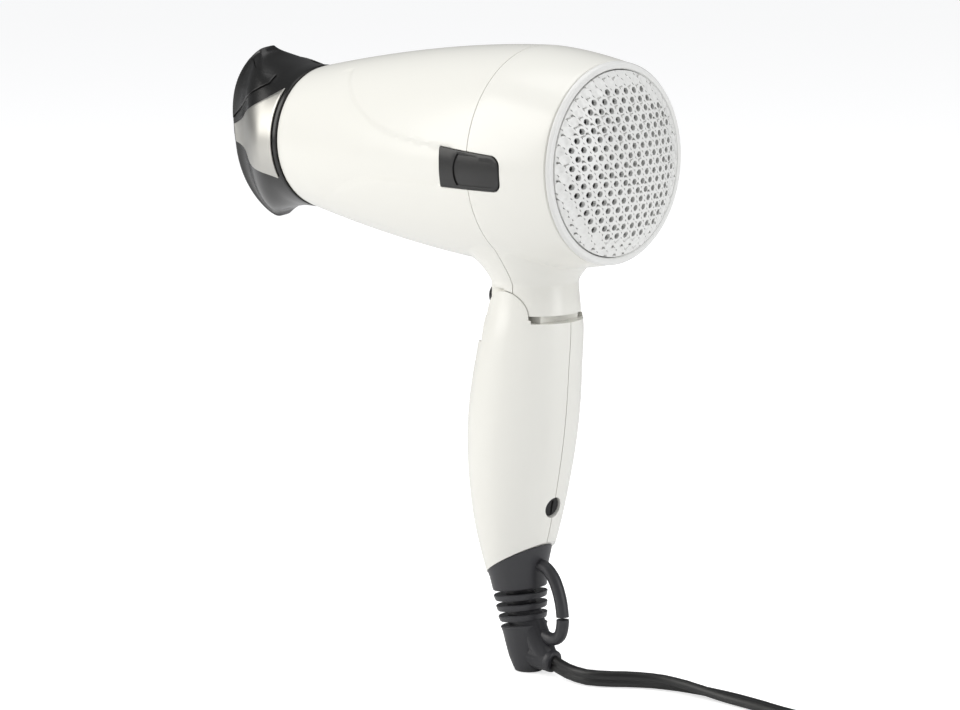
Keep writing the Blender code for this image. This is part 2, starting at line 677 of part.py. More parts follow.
# ---------------------------------------------------------------- nozzle
def nozzle_sizes(along):
    """(ease, half width, half height, squareness) of the nozzle's section."""
    base = FRONT_RADIUS + 0.0003
    bend = max(0.0, (along - NOZZLE_BASE) / (1 - NOZZLE_BASE))
    ease = bend * bend * (3 - 2 * bend)
    half_width = base + (SLOT_HALF_WIDTH - base) * ease
    half_height = base + (SLOT_HALF_HEIGHT - base) * bend**1.25
    return ease, half_width, half_height, 2 + (SLOT_SQUARENESS - 2) * ease


def nozzle_section(along, around, offset):
    """A point of the nozzle's skin: along 0 at its base to 1 at its rim, around in radians."""
    ease, half_width, half_height, squareness = nozzle_sizes(along)
    side, rise = math.cos(around), math.sin(around)
    y = (half_width + offset) * math.copysign(abs(side) ** (2 / squareness), side)
    z = (half_height + offset) * math.copysign(abs(rise) ** (2 / squareness), rise)
    arch = NOZZLE_ARCH * ease * min(1.0, abs(z) / SLOT_HALF_HEIGHT) ** (1 + 1.7 * ease)
    return Vector((-BARREL_FRONT - GAP - along * (NOZZLE_LENGTH - GAP - arch), y, z))


def nozzle_skin(along, around, offset):
    """The same skin, straight between the shell's stations, so that the panels follow it."""
    for low, high in zip(NOZZLE_STATIONS, NOZZLE_STATIONS[1:]):
        if along <= high:
            break
    share = (along - low) / (high - low)
    return nozzle_section(low, around, offset).lerp(nozzle_section(high, around, offset), share)


def nozzle_grid(alongs, arounds, offset, closed):
    bm = bmesh.new()
    rows = [[bm.verts.new(nozzle_skin(a, t, offset)) for t in arounds(a)] for a in alongs]
    count = len(rows[0])
    for low, high in zip(rows, rows[1:]):
        for i in range(count if closed else count - 1):
            j = (i + 1) % count
            bm.faces.new((low[i], high[i], high[j], low[j]))
    return bm


def build_nozzle():
    spin = Matrix.Rotation(NOZZLE_TURN, 4, "X")
    sides = 28
    bm = nozzle_grid(NOZZLE_STATIONS,
                     lambda along: [2 * math.pi * i / sides for i in range(sides)], 0, True)
    shell = from_bmesh("nozzle_shell", bm, PIANO_BLACK, NOZZLE)
    groove = turned(
        "nozzle_groove",
        [(FRONT_RADIUS - 0.0007, -0.0020), (FRONT_RADIUS - 0.0007, -0.0040), (FRONT_RADIUS - 0.0040, -0.0040),
         (FRONT_RADIUS - 0.0040, -0.0020)],
        (-BARREL_FRONT, 0, AXIS_Z), X_AXIS, parent=NOZZLE, ring=True,
    )
    solidify(shell, NOZZLE_WALL)
    cut(shell, groove)
    shell.location = (0, 0, AXIS_Z)
    shell.rotation_euler = spin.to_euler()
    for side, word in ((math.pi, "left"), (0, "right")):
        def spread(along, middle=side):
            _, _, half_height, squareness = nozzle_sizes(along)
            half = PANEL_REAR_HALF + (PANEL_FRONT_HALF - PANEL_REAR_HALF) * along
            shares = [half * (2 * i / 8 - 1) / half_height for i in range(9)]
            angles = [math.copysign(math.asin(abs(h) ** (squareness / 2)), h) for h in shares]
            return [middle + angle for angle in angles]
        bm = nozzle_grid((0.06,) + NOZZLE_STATIONS[1:-1] + (0.93,), spread, PANEL_RISE, False)
        panel = from_bmesh(f"nozzle_panel_{word}", bm, BRUSHED, NOZZLE)
        solidify(panel, PANEL_THICKNESS)
        panel.location = (0, 0, AXIS_Z)
        panel.rotation_euler = spin.to_euler()
    clear = SPIGOT_RADIUS + GAP
    bore = FRONT_RADIUS + 0.0003 - NOZZLE_WALL
    turned(
        "nozzle_collar",
        [(bore - GAP, -GAP), (bore - GAP, -0.0025), (bore + 0.0005, -0.0025), (bore + 0.0005, -0.0035),
         (bore - GAP, -0.0035), (bore - GAP, -SPIGOT_LENGTH), (clear, -SPIGOT_LENGTH), (clear, -GAP)],
        (-BARREL_FRONT, 0, AXIS_Z), X_AXIS, PIANO_BLACK, COLLAR, ring=True,
    )


def solidify(obj, thickness):
    modifier = obj.modifiers.new("wall", "SOLIDIFY")
    modifier.thickness = thickness
    modifier.offset = -1
    modifier.use_even_offset = True
    return obj


# ---------------------------------------------------------------- handle
def build_handle():
    points = [handle_centre(fraction) for fraction, _ in HANDLE_OUTLINE]
    radii = [share * HANDLE_RADIUS for _, share in HANDLE_OUTLINE]
    form = tube("handle_form", points, radii, roundness=11)
    ceiling = PIVOT_HEIGHT - NOTCH_DEPTH - 0.005
    hollow_heights = [HANDLE_FOOT - 0.002] + [
        point.z for point in points if HANDLE_FOOT < point.z < ceiling - 0.003] + [ceiling]
    hollow_points, hollow_radii = [], []
    for height in hollow_heights:
        centre, radius = handle_at(max(height, HANDLE_FOOT))
        hollow_points.append((centre, 0, height))
        hollow_radii.append(radius - WALL)
    hollow = tube("handle_hollow", hollow_points, hollow_radii, roundness=8)
    wide = 0.04
    notch = box("notch_room", PIVOT + Vector((-wide, -EAR_GAP, -NOTCH_DEPTH)),
                PIVOT + Vector((-0.0045, EAR_GAP, wide)))
    cradle = rod("cradle_room", PIVOT - EAR_GAP * Y_AXIS, PIVOT + EAR_GAP * Y_AXIS,
                 DRUM_RADIUS + GAP, sides=36)
    fork = box("fork_room", PIVOT + Vector((-0.006, -EAR_GAP, -NECK_FOOT)),
               PIVOT + Vector((wide, EAR_GAP, wide)))
    above = box("above_ears", PIVOT + Vector((-wide, -wide, 0)), PIVOT + Vector((wide, wide, wide)))
    ear_disc = rod("ear_disc", PIVOT - 2 * wide * Y_AXIS, PIVOT + 2 * wide * Y_AXIS, EAR_RADIUS, sides=40)
    cut(above, ear_disc)
    ear_front = box("ear_front", PIVOT + Vector((-wide, -wide, -0.009)),
                    PIVOT + Vector((-EAR_FRONT_CUT, wide, wide)))
    pin_seat = rod("pin_seat", PIVOT - 0.0152 * Y_AXIS, PIVOT + 0.0152 * Y_AXIS, PIN_RADIUS + GAP)
    passage = rod("wire_passage", (SEAM_X, 0, ceiling - 0.002), (SEAM_X, 0, PIVOT_HEIGHT), 0.0042)
    detent_room = box("detent_room", PIVOT + Vector((-0.0095, -0.0045, -NOTCH_DEPTH - 0.0029)),
                      PIVOT + Vector((-0.0030, 0.0045, -DRUM_RADIUS + 0.004)))
    bosses, screw_holes = build_screw_bosses()
    cuts = [hollow, notch, cradle, fork, above, ear_front, pin_seat, passage, detent_room,
            slanted_box("below_handle", GAP / 2, False)]
    slots = slide_cuts() + dial_cuts()
    far = 0.2
    halves = (
        ("handle_left", box("left_half", (-far, -far, 0), (far, -GAP / 2, far))),
        ("handle_right", box("right_half", (-far, GAP / 2, 0), (far, far, far))),
    )
    for name, half in halves:
        piece = twin(form, name, PEARL, ROOT)
        cut(piece, hollow)
        join(piece, *bosses)
        cut(piece, *cuts[1:])
        cut(piece, *slots, *screw_holes[name])
        keep(piece, half)
    for side, word in ((-1, "left"), (1, "right")):
        rod(f"hinge_pin_{word}", PIVOT + side * 0.0090 * Y_AXIS, PIVOT + side * 0.0149 * Y_AXIS,
            PIN_RADIUS, STEEL)
    box("hinge_detent", PIVOT + Vector((-0.0092, -0.0042, -NOTCH_DEPTH - 0.0026)),
        PIVOT + Vector((-0.0033, 0.0042, -NOTCH_DEPTH - 0.0006)), STEEL)


def screw_places():
    """(name, x, z) of the handle's two screws."""
    return (("upper", handle_at(0.0880)[0] + 0.0110, 0.0880), ("lower", handle_at(0.0665)[0] - 0.002, 0.0665))


def build_screw_bosses():
    bosses = []
    holes = {"handle_left": [], "handle_right": []}
    for name, x, z in screw_places():
        radius = handle_at(z)[1]
        offset = x - handle_at(z)[0]
        skin = math.sqrt(radius**2 - offset**2)
        bosses.append(rod(f"boss_{name}", (x, -skin + 0.001, z), (x, skin - 0.001, z), 0.0034, sides=16))
        holes["handle_left"].append(rod(f"pilot_{name}", (x, -skin + 0.0045, z), (x, 0.01, z), 0.0015, sides=12))
        holes["handle_right"].append(rod(f"shank_hole_{name}", (x, -0.01, z), (x, skin + 0.001, z), 0.0017, sides=12))
        holes["handle_right"].append(rod(f"head_room_{name}", (x, skin - 0.0065, z), (x, skin + 0.002, z), 0.0030, sides=16))
        head = rod(f"handle_screw_{name}", (x, skin - 0.0062, z), (x, skin - 0.0044, z), 0.0026, STEEL, sides=16)
        shank = rod(f"screw_shank_{name}", (x, -skin + 0.0060, z), (x, skin - 0.0058, z), 0.0012, sides=10)
        join(head, shank)
    return bosses, holes


# ---------------------------------------------------------------- handle controls
def slide_face():
    """x of the flat floor of the slide's recess."""
    centre, radius = handle_at(SLIDE_HEIGHT + SLIDE_TRAVEL / 2)
    return centre - radius + 0.0013


def slide_cuts():
    face = slide_face()
    low, high = SLIDE_HEIGHT - SLIDE_HALF_LENGTH, SLIDE_HEIGHT + SLIDE_TRAVEL + SLIDE_HALF_LENGTH
    side = SLIDE_HALF_WIDTH + 0.0004
    recess = box("slide_recess", (face - 0.01, -side, low - 0.0006), (face, side, high + 0.0006))
    slot = box("slide_slot", (face - 0.001, -0.0022, SLIDE_HEIGHT - 0.0034),
               (face + 0.004, 0.0022, SLIDE_HEIGHT + SLIDE_TRAVEL + 0.0034))
    return [recess, slot]


def build_slide():
    face = slide_face()
    cap = box("power_slide", (face - 0.0032, -SLIDE_HALF_WIDTH, SLIDE_HEIGHT - SLIDE_HALF_LENGTH),
              (face - GAP, SLIDE_HALF_WIDTH, SLIDE_HEIGHT + SLIDE_HALF_LENGTH), MATTE_BLACK, SLIDE)
    stem = box("slide_stem", (face - 0.001, -0.0018, SLIDE_HEIGHT - 0.0030),
               (face + 0.0055, 0.0018, SLIDE_HEIGHT + 0.0030), parent=SLIDE)
    groove = [box(f"slide_groove_{n}", (face - 0.004, -0.0035, SLIDE_HEIGHT + n * 0.0028 - 0.0005),
                  (face - 0.0026, 0.0035, SLIDE_HEIGHT + n * 0.0028 + 0.0005), parent=SLIDE)
              for n in (-1, 0, 1)]
    cut(join(cap, stem), *groove)
    body_low, body_high = SLIDE_HEIGHT - 0.0075, SLIDE_HEIGHT + SLIDE_TRAVEL + 0.0075
    body = box("slide_switch", (face + 0.0032, -0.0055, body_low), (face + 0.0115, 0.0055, body_high), MATTE_BLACK)
    slot = box("switch_slot", (face + 0.003, -0.0022, SLIDE_HEIGHT - 0.0034),
               (face + 0.0060, 0.0022, SLIDE_HEIGHT + SLIDE_TRAVEL + 0.0034))
    cut(body, slot)


def dial_centre():
    centre, radius = handle_at(DIAL_HEIGHT)
    return Vector((centre + radius, 0, DIAL_HEIGHT))


def dial_axis():
    return Vector((math.cos(DIAL_TILT), 0, -math.sin(DIAL_TILT)))


def dial_cuts():
    centre, axis = dial_centre(), dial_axis()
    return [rod("dial_hole", centre - 0.006 * axis, centre + 0.004 * axis, DIAL_RADIUS + GAP, sides=24)]


def build_dial():
    centre, axis = dial_centre(), dial_axis()
    disc = rod("voltage_dial", centre - 0.0040 * axis, centre - 0.0008 * axis, DIAL_RADIUS, MATTE_BLACK, DIAL, 24)
    quarter = Matrix.Rotation(DIAL_TILT, 4, "Y")
    groove_centre = centre - 0.0008 * axis
    groove = box("dial_groove", groove_centre - Vector((0.0009, 0.0006, 0.0026)),
                 groove_centre + Vector((0.0009, 0.0006, 0.0026)), parent=DIAL, turn=quarter)
    cut(disc, groove)
    back = centre - 0.0043 * axis
    box("voltage_switch", back - Vector((0.0066, 0.0042, 0.0045)), back - Vector((0.0002, -0.0042, -0.0045)),
        MATTE_BLACK, turn=quarter)


def build_button():
    height = PIVOT_HEIGHT + BUTTON_RISE
    face = PIVOT_X - NECK_RADIUS * 1.035
    flange_front = PIVOT_X - 0.0135 + GAP
    flange = BUTTON_RADIUS + 0.0014
    turned(
        "cool_button",
        [(0, face - 0.0030), (BUTTON_RADIUS * 0.55, face - 0.0026), (BUTTON_RADIUS * 0.88, face - 0.0015),
         (BUTTON_RADIUS, face - 0.0002), (BUTTON_RADIUS, flange_front), (flange, flange_front),
         (flange, flange_front + 0.0012), (0, flange_front + 0.0012)][::-1],
        (0, 0, height), X_AXIS, PIANO_BLACK, BUTTON, steps=24,
    )
    start = flange_front + 0.0012 + BUTTON_TRAVEL + GAP
    box("cool_switch", (start, -0.0030, height - 0.0030), (PIVOT_X - 0.0035, 0.0030, height + 0.0030),
        MATTE_BLACK, FOLD)


# ---------------------------------------------------------------- strain relief, cord and plug
def build_relief():
    tip = Vector((RELIEF_TIP_X, 0, 0))
    axis = Vector((-math.sin(RELIEF_LEAN), 0, math.cos(RELIEF_LEAN)))
    profile = [(0, 0.049), (0.0135, 0.049), (0.0132, 0.044), (0.0115, 0.0385), (0.0100, 0.0335)]
    line = ((GROOVE_TOP, 0.0094), (0.0, 0.0062))

    def skin(s):
        return line[1][1] + (line[0][1] - line[1][1]) * (s / GROOVE_TOP)

    for number in range(GROOVE_COUNT):
        middle = GROOVE_TOP - number * GROOVE_PITCH
        for s, radius in ((GROOVE_WIDTH / 2, skin(middle)), (GROOVE_WIDTH / 2, RELIEF_CORE),
                          (-GROOVE_WIDTH / 2, RELIEF_CORE), (-GROOVE_WIDTH / 2, skin(middle))):
            profile.append((radius, middle + s))
    profile += [(0.0071, 0.0100), (0.0064, 0.0055), (0.0052, 0.0020), (0.0036, -0.0006), (0, -0.0006)]
    body = turned("strain_relief", profile, tip, axis, CHARCOAL, steps=20)
    cut(body, slanted_box("above_relief", -GAP / 2, True))
    stub = rod("relief_stub", tip + 0.030 * axis, tip + 0.050 * axis, STUB_RADIUS, sides=20)
    boss = rod("cord_boss", (-0.0020, 0, 0.0054), (0.0080, 0, 0.0044), 0.0044, sides=16, end_radius=0.0038)
    loop_route = ((-0.0030, 0, 0.0360), (0.0035, 0, 0.0375), (0.0082, 0, 0.0345), (0.0112, 0, 0.0290),
                  (0.0127, 0, 0.0230), (0.0129, 0, 0.0180), (0.0115, 0, 0.0140), (0.0080, 0, 0.0124),
                  (0.0035, 0, 0.0134), (-0.0020, 0, 0.0150))
    loop_points = smooth_path(loop_route, 0.0032)
    loop = tube("hanging_loop", loop_points, [LOOP_RADIUS] * len(loop_points), roundness=2)
    cut(loop, slanted_box("above_loop", -GAP / 2, True))
    join(body, stub, boss, loop)
    surface = box("surface", (-0.1, -0.1, -0.05), (0.1, 0.1, 0))
    cut(body, surface)


def build_cord():
    points = smooth_path(CORD_ROUTE, 2.6 * CORD_WIDTH / 2)
    tube("power_cord", points, [CORD_WIDTH / 2] * len(points), CORD_BLACK, roundness=2)
    inner, outer = COIL_MIDDLE - COIL_HALF_WIDTH, COIL_MIDDLE + COIL_HALF_WIDTH
    turned("cord_coil", [(outer, COIL_HEIGHT), (outer, 0), (inner, 0), (inner, COIL_HEIGHT)],
           COIL_CENTRE, Z_AXIS, CORD_BLACK, steps=32, ring=True)
    # the plug lies beyond the coil, where the outer turn leaves it
    turn_radius = COIL_MIDDLE + CORD_THICKNESS * (COIL_COLUMNS - 1) / 2
    tail = COIL_CENTRE + Vector((PLUG_TAIL_AHEAD, turn_radius, PLUG_THICKNESS / 2 + 0.0002))
    body_start = tail + PLUG_TAIL * X_AXIS
    body_end = body_start + PLUG_LENGTH * X_AXIS
    half = Vector((0, PLUG_WIDTH / 2, PLUG_THICKNESS / 2))
    body = box("plug_body", body_start - half, body_end + half, MATTE_BLACK)
    bevel = body.modifiers.new("round", "BEVEL")
    bevel.width = 0.004
    bevel.segments = 2
    join(body, rod("plug_tail", tail, body_start + 0.004 * X_AXIS, 0.0038, sides=14, end_radius=0.0062))
    for side, word in ((-1, "left"), (1, "right")):
        across = side * PLUG_PIN_SPACING / 2 * Y_AXIS
        root = body_end + across - PLUG_PIN_SEAT * X_AXIS
        point = body_end + across + PLUG_PIN_REACH * X_AXIS
        cut(body, rod(f"plug_bore_{word}", root - GAP * X_AXIS, point, PLUG_PIN_RADIUS + GAP, sides=16))
        rod(f"plug_pin_{word}", root, point, PLUG_PIN_RADIUS, BRASS, sides=16)


def build_wiring():
    low = 0.0545
    centre = handle_at(low)[0]
    box("cord_clamp", (centre - 0.0065, -0.0055, low + 0.0005), (centre + 0.0025, 0.0055, low + 0.0040), MATTE_BLACK)
    switch_back = slide_face() + 0.0115 + GAP
    top = PIVOT_HEIGHT - NOTCH_DEPTH + 0.003
    middle = SLIDE_HEIGHT + SLIDE_TRAVEL
    for name, y in (("handle_lead_live", -0.0019), ("handle_lead_neutral", 0.0019)):
        route = ((switch_back, y, middle - 0.002), (switch_back + 0.004, y, middle - 0.0015),
                 (SEAM_X - 0.0060, y, middle + 0.0010), (SEAM_X - 0.0010, y, middle + 0.0065),
                 (SEAM_X, y, top - 0.005), (SEAM_X, y, top))
        points = smooth_path(route, 0.0035)
        tube(name, points, [LEAD_RADIUS] * len(points), WIRE_RED if y < 0 else WIRE_BLUE, roundness=1)
    for name, y in (("neck_lead_live", -0.0019), ("neck_lead_neutral", 0.0019)):
        below = AXIS_Z - housing_radius() - 0.0013
        route = ((SEAM_X, y, PIVOT_HEIGHT - 0.008), (SEAM_X, y, PIVOT_HEIGHT + 0.010),
                 (SEAM_X - 0.0008, y, PIVOT_HEIGHT + 0.0165), (SEAM_X - 0.0040, y, below),
                 (SEAM_X - 0.0120, y, below), (HOUSING_FRONT, y, below),
                 (HOUSING_FRONT - 0.0050, y, below + 0.0035), (MOTOR_FRONT - 0.0050, y, below + 0.0090),
                 (MOTOR_FRONT - 0.0052, y, below + 0.0140))
        points = smooth_path(route, 0.0045)
        tube(name, points, [LEAD_RADIUS] * len(points), WIRE_RED if y < 0 else WIRE_BLUE, FOLD, 1)


# ---------------------------------------------------------------- build
clear_scene()
PARTS = new_collection("hair_dryer")
GUIDES = new_collection("guides")

PEARL = material("pearl_white", (0.86, 0.85, 0.80), 0.25)
WHITE = material("grille_white", (0.82, 0.82, 0.80), 0.35)
PIANO_BLACK = material("piano_black", (0.012, 0.012, 0.013), 0.10)
MATTE_BLACK = material("matte_black", (0.02, 0.02, 0.02), 0.45)
CHARCOAL = material("charcoal_soft_plastic", (0.035, 0.036, 0.038), 0.55)
CORD_BLACK = material("cord_black", (0.015, 0.015, 0.016), 0.5)
BRUSHED = material("brushed_silver", (0.55, 0.54, 0.51), 0.35, 0.9)
STEEL = material("steel", (0.50, 0.50, 0.50), 0.35, 1.0)
BRASS = material("plated_brass", (0.72, 0.70, 0.62), 0.25, 1.0)
MESH_GREY = material("filter_mesh", (0.10, 0.10, 0.10), 0.8)
FAN_GREY = material("motor_plastic", (0.10, 0.10, 0.11), 0.5)
BOARD = material("circuit_board", (0.05, 0.20, 0.09), 0.5)
MICA = material("mica", (0.60, 0.52, 0.38), 0.6)
NICHROME = material("heating_wire", (0.35, 0.32, 0.30), 0.4, 1.0)
HEAT_BLACK = material("heat_plastic", (0.03, 0.03, 0.03), 0.5)
WIRE_RED = material("wire_red", (0.45, 0.03, 0.02), 0.5)
WIRE_BLUE = material("wire_blue", (0.03, 0.08, 0.40), 0.5)

ROOT = None
ROOT = empty("standing_point", (NECK_X, 0, 0))
FOLD = empty("fold_axis", PIVOT, ROOT)
SPIN = empty("fan_axis", (0, 0, AXIS_Z), FOLD)
COLLAR = empty("collar_axis", (-BARREL_FRONT, 0, AXIS_Z), FOLD)
NOZZLE = empty("nozzle_axis", (-BARREL_FRONT, 0, AXIS_Z), COLLAR)
BUTTON = empty("button_axis", (PIVOT_X - NECK_RADIUS, 0, PIVOT_HEIGHT + BUTTON_RISE), FOLD)
SLIDE = empty("slide_axis", (slide_face(), 0, SLIDE_HEIGHT), ROOT)
DIAL = empty("dial_axis", dial_centre(), ROOT)

build_shells()
build_inserts()
build_grille()
build_motor()
build_heater()
build_nozzle()
build_handle()
build_slide()
build_dial()
build_button()
build_relief()
build_cord()
build_wiring()
for part in PARTS.objects:
    part.data.shade_smooth()
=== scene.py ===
"""Visible pieces of a folding hair dryer, built round its packed frame.

Metres, +Z up. The nozzle points to -X and the intake grille to +X. Places follow from the
frame's joints and boxes; lengths along the barrel are counted from the neck's centre line.
"""
import json
import math

import bmesh
import bpy
from bpy.props import FloatProperty, FloatVectorProperty, PointerProperty
from mathutils import Matrix, Quaternion, Vector


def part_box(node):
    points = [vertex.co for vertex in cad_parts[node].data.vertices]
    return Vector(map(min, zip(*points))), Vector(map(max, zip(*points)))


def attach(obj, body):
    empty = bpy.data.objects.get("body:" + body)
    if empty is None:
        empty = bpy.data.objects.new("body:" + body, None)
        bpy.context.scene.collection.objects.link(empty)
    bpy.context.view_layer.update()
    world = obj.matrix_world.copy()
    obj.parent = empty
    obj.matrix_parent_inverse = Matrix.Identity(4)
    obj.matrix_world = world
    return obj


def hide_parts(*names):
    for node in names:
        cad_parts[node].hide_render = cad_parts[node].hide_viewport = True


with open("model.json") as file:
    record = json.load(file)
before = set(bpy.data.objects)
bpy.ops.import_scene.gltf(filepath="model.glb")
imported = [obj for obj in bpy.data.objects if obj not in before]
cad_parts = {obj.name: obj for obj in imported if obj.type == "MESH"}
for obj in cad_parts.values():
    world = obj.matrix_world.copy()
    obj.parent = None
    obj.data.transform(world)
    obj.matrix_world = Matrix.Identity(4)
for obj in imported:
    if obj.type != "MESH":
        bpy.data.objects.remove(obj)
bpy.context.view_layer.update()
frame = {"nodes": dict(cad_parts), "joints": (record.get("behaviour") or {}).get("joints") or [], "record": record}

bl_info = {
    "name": "Folding Hair Dryer",
    "version": (1, 0, 0),
    "blender": (4, 5, 0),
    "location": "View3D > Sidebar > Hair Dryer",
    "description": "Builds the visible pieces of a folding hair dryer round its packed frame",
    "category": "Add Mesh",
}

JOINTS = {joint["name"]: joint for joint in frame["joints"]}
PIVOT = Vector(JOINTS["fold"]["pos_m"])
AXIS = Vector(JOINTS["fan_spin"]["pos_m"])  # on the barrel's axis, over the neck's centre line
SIDES = ((-1, "left"), (1, "right"))  # sense along Y, and its word in names


# ---------------------------------------------------------------- sizes and colours
def length(name, default, description):
    return FloatProperty(name=name, default=default, unit="LENGTH", precision=5, description=description)


def colour(name, default, description):
    return FloatVectorProperty(
        name=name, default=default, subtype="COLOR", size=3, min=0, max=1, description=description
    )


class DryerSizes(bpy.types.PropertyGroup):
    seam: length("Seam", 0.0003, "Gap between two mouldings")
    wall: length("Wall", 0.0022, "Thickness of the barrel's and handle's walls")
    barrel_radius: length("Barrel radius", 0.0376, "Radius where the barrel is widest")
    front_radius: length("Front radius", 0.0250, "Radius of the barrel's front rim")
    rear_radius: length("Rear radius", 0.0338, "Radius of the barrel's rear rim")
    barrel_front: length("Barrel front", 0.100, "Front rim, ahead of the neck")
    barrel_rear: length("Barrel rear", 0.034, "Rear rim, behind the neck")
    channel_depth: length("Channel depth", 0.0008, "Depth of the soft channel ahead of each side insert")
    hole_radius: length("Hole radius", 0.00108, "Radius of the intake's holes")
    hole_pitch: length("Hole pitch", 0.00435, "Distance between holes in a row")
    row_pitch: length("Row pitch", 0.00297, "Distance between rows of holes")
    dome_bulge: length("Dome bulge", 0.0070, "Rise of the intake dome above its ring")
    nozzle_length: length("Nozzle length", 0.0415, "From the front rim to the middle of the slot")
    nozzle_wall: length("Nozzle wall", 0.0018, "Thickness of the nozzle's wall")
    handle_radius: length("Handle radius", 0.0190, "Radius where the handle is thickest")
    cord_width: length("Cord width", 0.0055, "Width of the flat twin cord")
    cord_thickness: length("Cord thickness", 0.0033, "Thickness of the flat twin cord")
    cord_length: length("Cord length", 1.8, "Length of the cord from the strain relief to the plug")


class DryerColours(bpy.types.PropertyGroup):
    pearl: colour("Pearl", (0.86, 0.845, 0.795), "Barrel, neck and handle")
    grille: colour("Grille", (0.84, 0.84, 0.83), "Intake dome and its ring")
    black: colour("Black", (0.009, 0.009, 0.010), "Gloss black mouldings")
    charcoal: colour("Charcoal", (0.022, 0.022, 0.024), "Strain relief")
    cord: colour("Cord", (0.010, 0.010, 0.011), "Mains cord")
    silver: colour("Silver", (0.56, 0.55, 0.52), "Brushed panels of the nozzle")


def sizes():
    return bpy.context.scene.dryer_sizes


def colours():
    return bpy.context.scene.dryer_colours


# ---------------------------------------------------------------- modelling helpers
def deselect():
    if bpy.context.mode != "OBJECT":
        bpy.ops.object.mode_set(mode="OBJECT")
    bpy.ops.object.select_all(action="DESELECT")


def activate(obj):
    deselect()
    obj.select_set(True)
    bpy.context.view_layer.objects.active = obj


def edit_all(obj):
    activate(obj)
    bpy.ops.object.mode_set(mode="EDIT")
    bpy.ops.mesh.select_mode(type="VERT")
    bpy.ops.mesh.select_all(action="SELECT")


def leave_edit():
    bpy.ops.object.mode_set(mode="OBJECT")


def named(name):
    obj = bpy.context.object
    obj.name = obj.data.name = name
    return obj


def settle(obj):
    """Puts the object at the origin and leaves its place in its mesh."""
    activate(obj)
    bpy.ops.object.transform_apply(location=True, rotation=True, scale=True)
    return obj


def outward(obj):
    edit_all(obj)
    bpy.ops.mesh.remove_doubles(threshold=0.000002)
    bpy.ops.mesh.normals_make_consistent(inside=False)
    leave_edit()
    return obj


def block(name, low, high, turn=None):
    deselect()
    low, high = Vector(low), Vector(high)
    bpy.ops.mesh.primitive_cube_add(size=1, location=(low + high) / 2, rotation=turn or (0, 0, 0))
    obj = named(name)
    obj.scale = high - low
    return settle(obj)


def pin(name, start, end, radius, sides=48, end_radius=None):
    """A round bar, or a cone, from start to end."""
    deselect()
    start, end = Vector(start), Vector(end)
    run = end - start
    turn = (run.to_track_quat("Z", "Y") @ Quaternion((0, 0, 1), 0.013)).to_euler()
    bpy.ops.mesh.primitive_cone_add(
        vertices=sides, radius1=radius, radius2=radius if end_radius is None else end_radius,
        depth=run.length, location=(start + end) / 2, rotation=turn,
    )
    return settle(named(name))


def drawn_line(name, points):
    """A line of edges, drawn by extruding one vertex from point to point."""
    deselect()
    points = [Vector(point) for point in points]
    bpy.ops.mesh.primitive_plane_add(size=0.001, location=points[0])
    obj = settle(named(name))
    edit_all(obj)
    bpy.ops.mesh.merge(type="CENTER")
    for a, b in zip(points, points[1:]):
        bpy.ops.mesh.extrude_region_move(TRANSFORM_OT_translate={"value": b - a})
    return obj


def turned(name, profile, centre, axis, steps):
    """Spins (along, radius) points about the axis through centre. Points on it close the form."""
    axis = Vector(axis).normalized()
    side = axis.orthogonal().normalized()
    centre = Vector(centre)
    obj = drawn_line(name, [centre + along * axis + radius * side for along, radius in profile])
    bpy.ops.mesh.select_all(action="SELECT")
    bpy.ops.mesh.spin(steps=steps, angle=2 * math.pi, center=centre, axis=axis)
    leave_edit()
    return outward(obj)


def stacked(name, centres, radii, sides):
    """A closed form of level rings, each extruded from the last and scaled to its radius."""
    deselect()
    bpy.ops.mesh.primitive_circle_add(vertices=sides, radius=radii[0], location=centres[0])
    obj = settle(named(name))
    edit_all(obj)
    for a, b, low, high in zip(centres, centres[1:], radii, radii[1:]):
        bpy.ops.mesh.extrude_region_move(TRANSFORM_OT_translate={"value": Vector(b) - Vector(a)})
        share = high / low
        bpy.ops.transform.resize(value=(share, share, 1), center_override=b)
    bpy.ops.mesh.select_all(action="SELECT")
    bpy.ops.mesh.fill_holes(sides=0)
    leave_edit()
    return outward(obj)


def sheet_on(name, across, along, rule):
    """A grid whose corners run from (0, 0) to (1, 1), laid on a surface by rule(u, v)."""
    deselect()
    bpy.ops.mesh.primitive_grid_add(
        x_subdivisions=across, y_subdivisions=along, size=1, location=(0.5, 0.5, 0)
    )
    obj = settle(named(name))
    reshape(obj, lambda point: rule(point.x, point.y))
    return obj


def reshape(obj, rule):
    for vertex in obj.data.vertices:
        vertex.co = rule(vertex.co.copy())
    obj.data.update()
    return obj


def applied(obj, kind, **values):
    modifier = obj.modifiers.new(kind.lower(), kind)
    for key, value in values.items():
        setattr(modifier, key, value)
    activate(obj)
    bpy.ops.object.modifier_apply(modifier=modifier.name)
    return obj


def carve(obj, *tools, operation="DIFFERENCE"):
    """Applies each tool as a Boolean, then removes it."""
    for tool in tools:
        applied(obj, "BOOLEAN", solver="MANIFOLD", operation=operation, object=tool)
        bpy.data.objects.remove(tool)
    return obj


def copied(obj, name):
    twin = obj.copy()
    twin.data = obj.data.copy()
    twin.name = twin.data.name = name
    bpy.context.scene.collection.objects.link(twin)
    return twin


def softened(obj, width, segments=2, angle=35):
    return applied(obj, "BEVEL", width=width, segments=segments, limit_method="ANGLE",
                   angle_limit=math.radians(angle), harden_normals=False, use_clamp_overlap=True)


def split(form, axis, place, gap, low_name, high_name):
    """Cuts a form in two at a place along an axis, leaving a gap between the halves."""
    far = 0.3
    halves = (form, copied(form, high_name))
    form.name = form.data.name = low_name
    for half, sense in zip(halves, (-1, 1)):
        low, high = Vector((-far, -far, -far)), Vector((far, far, far))
        (high if sense < 0 else low)[axis] = place + sense * gap / 2
        carve(half, block("half_room", low, high), operation="INTERSECT")
    return halves


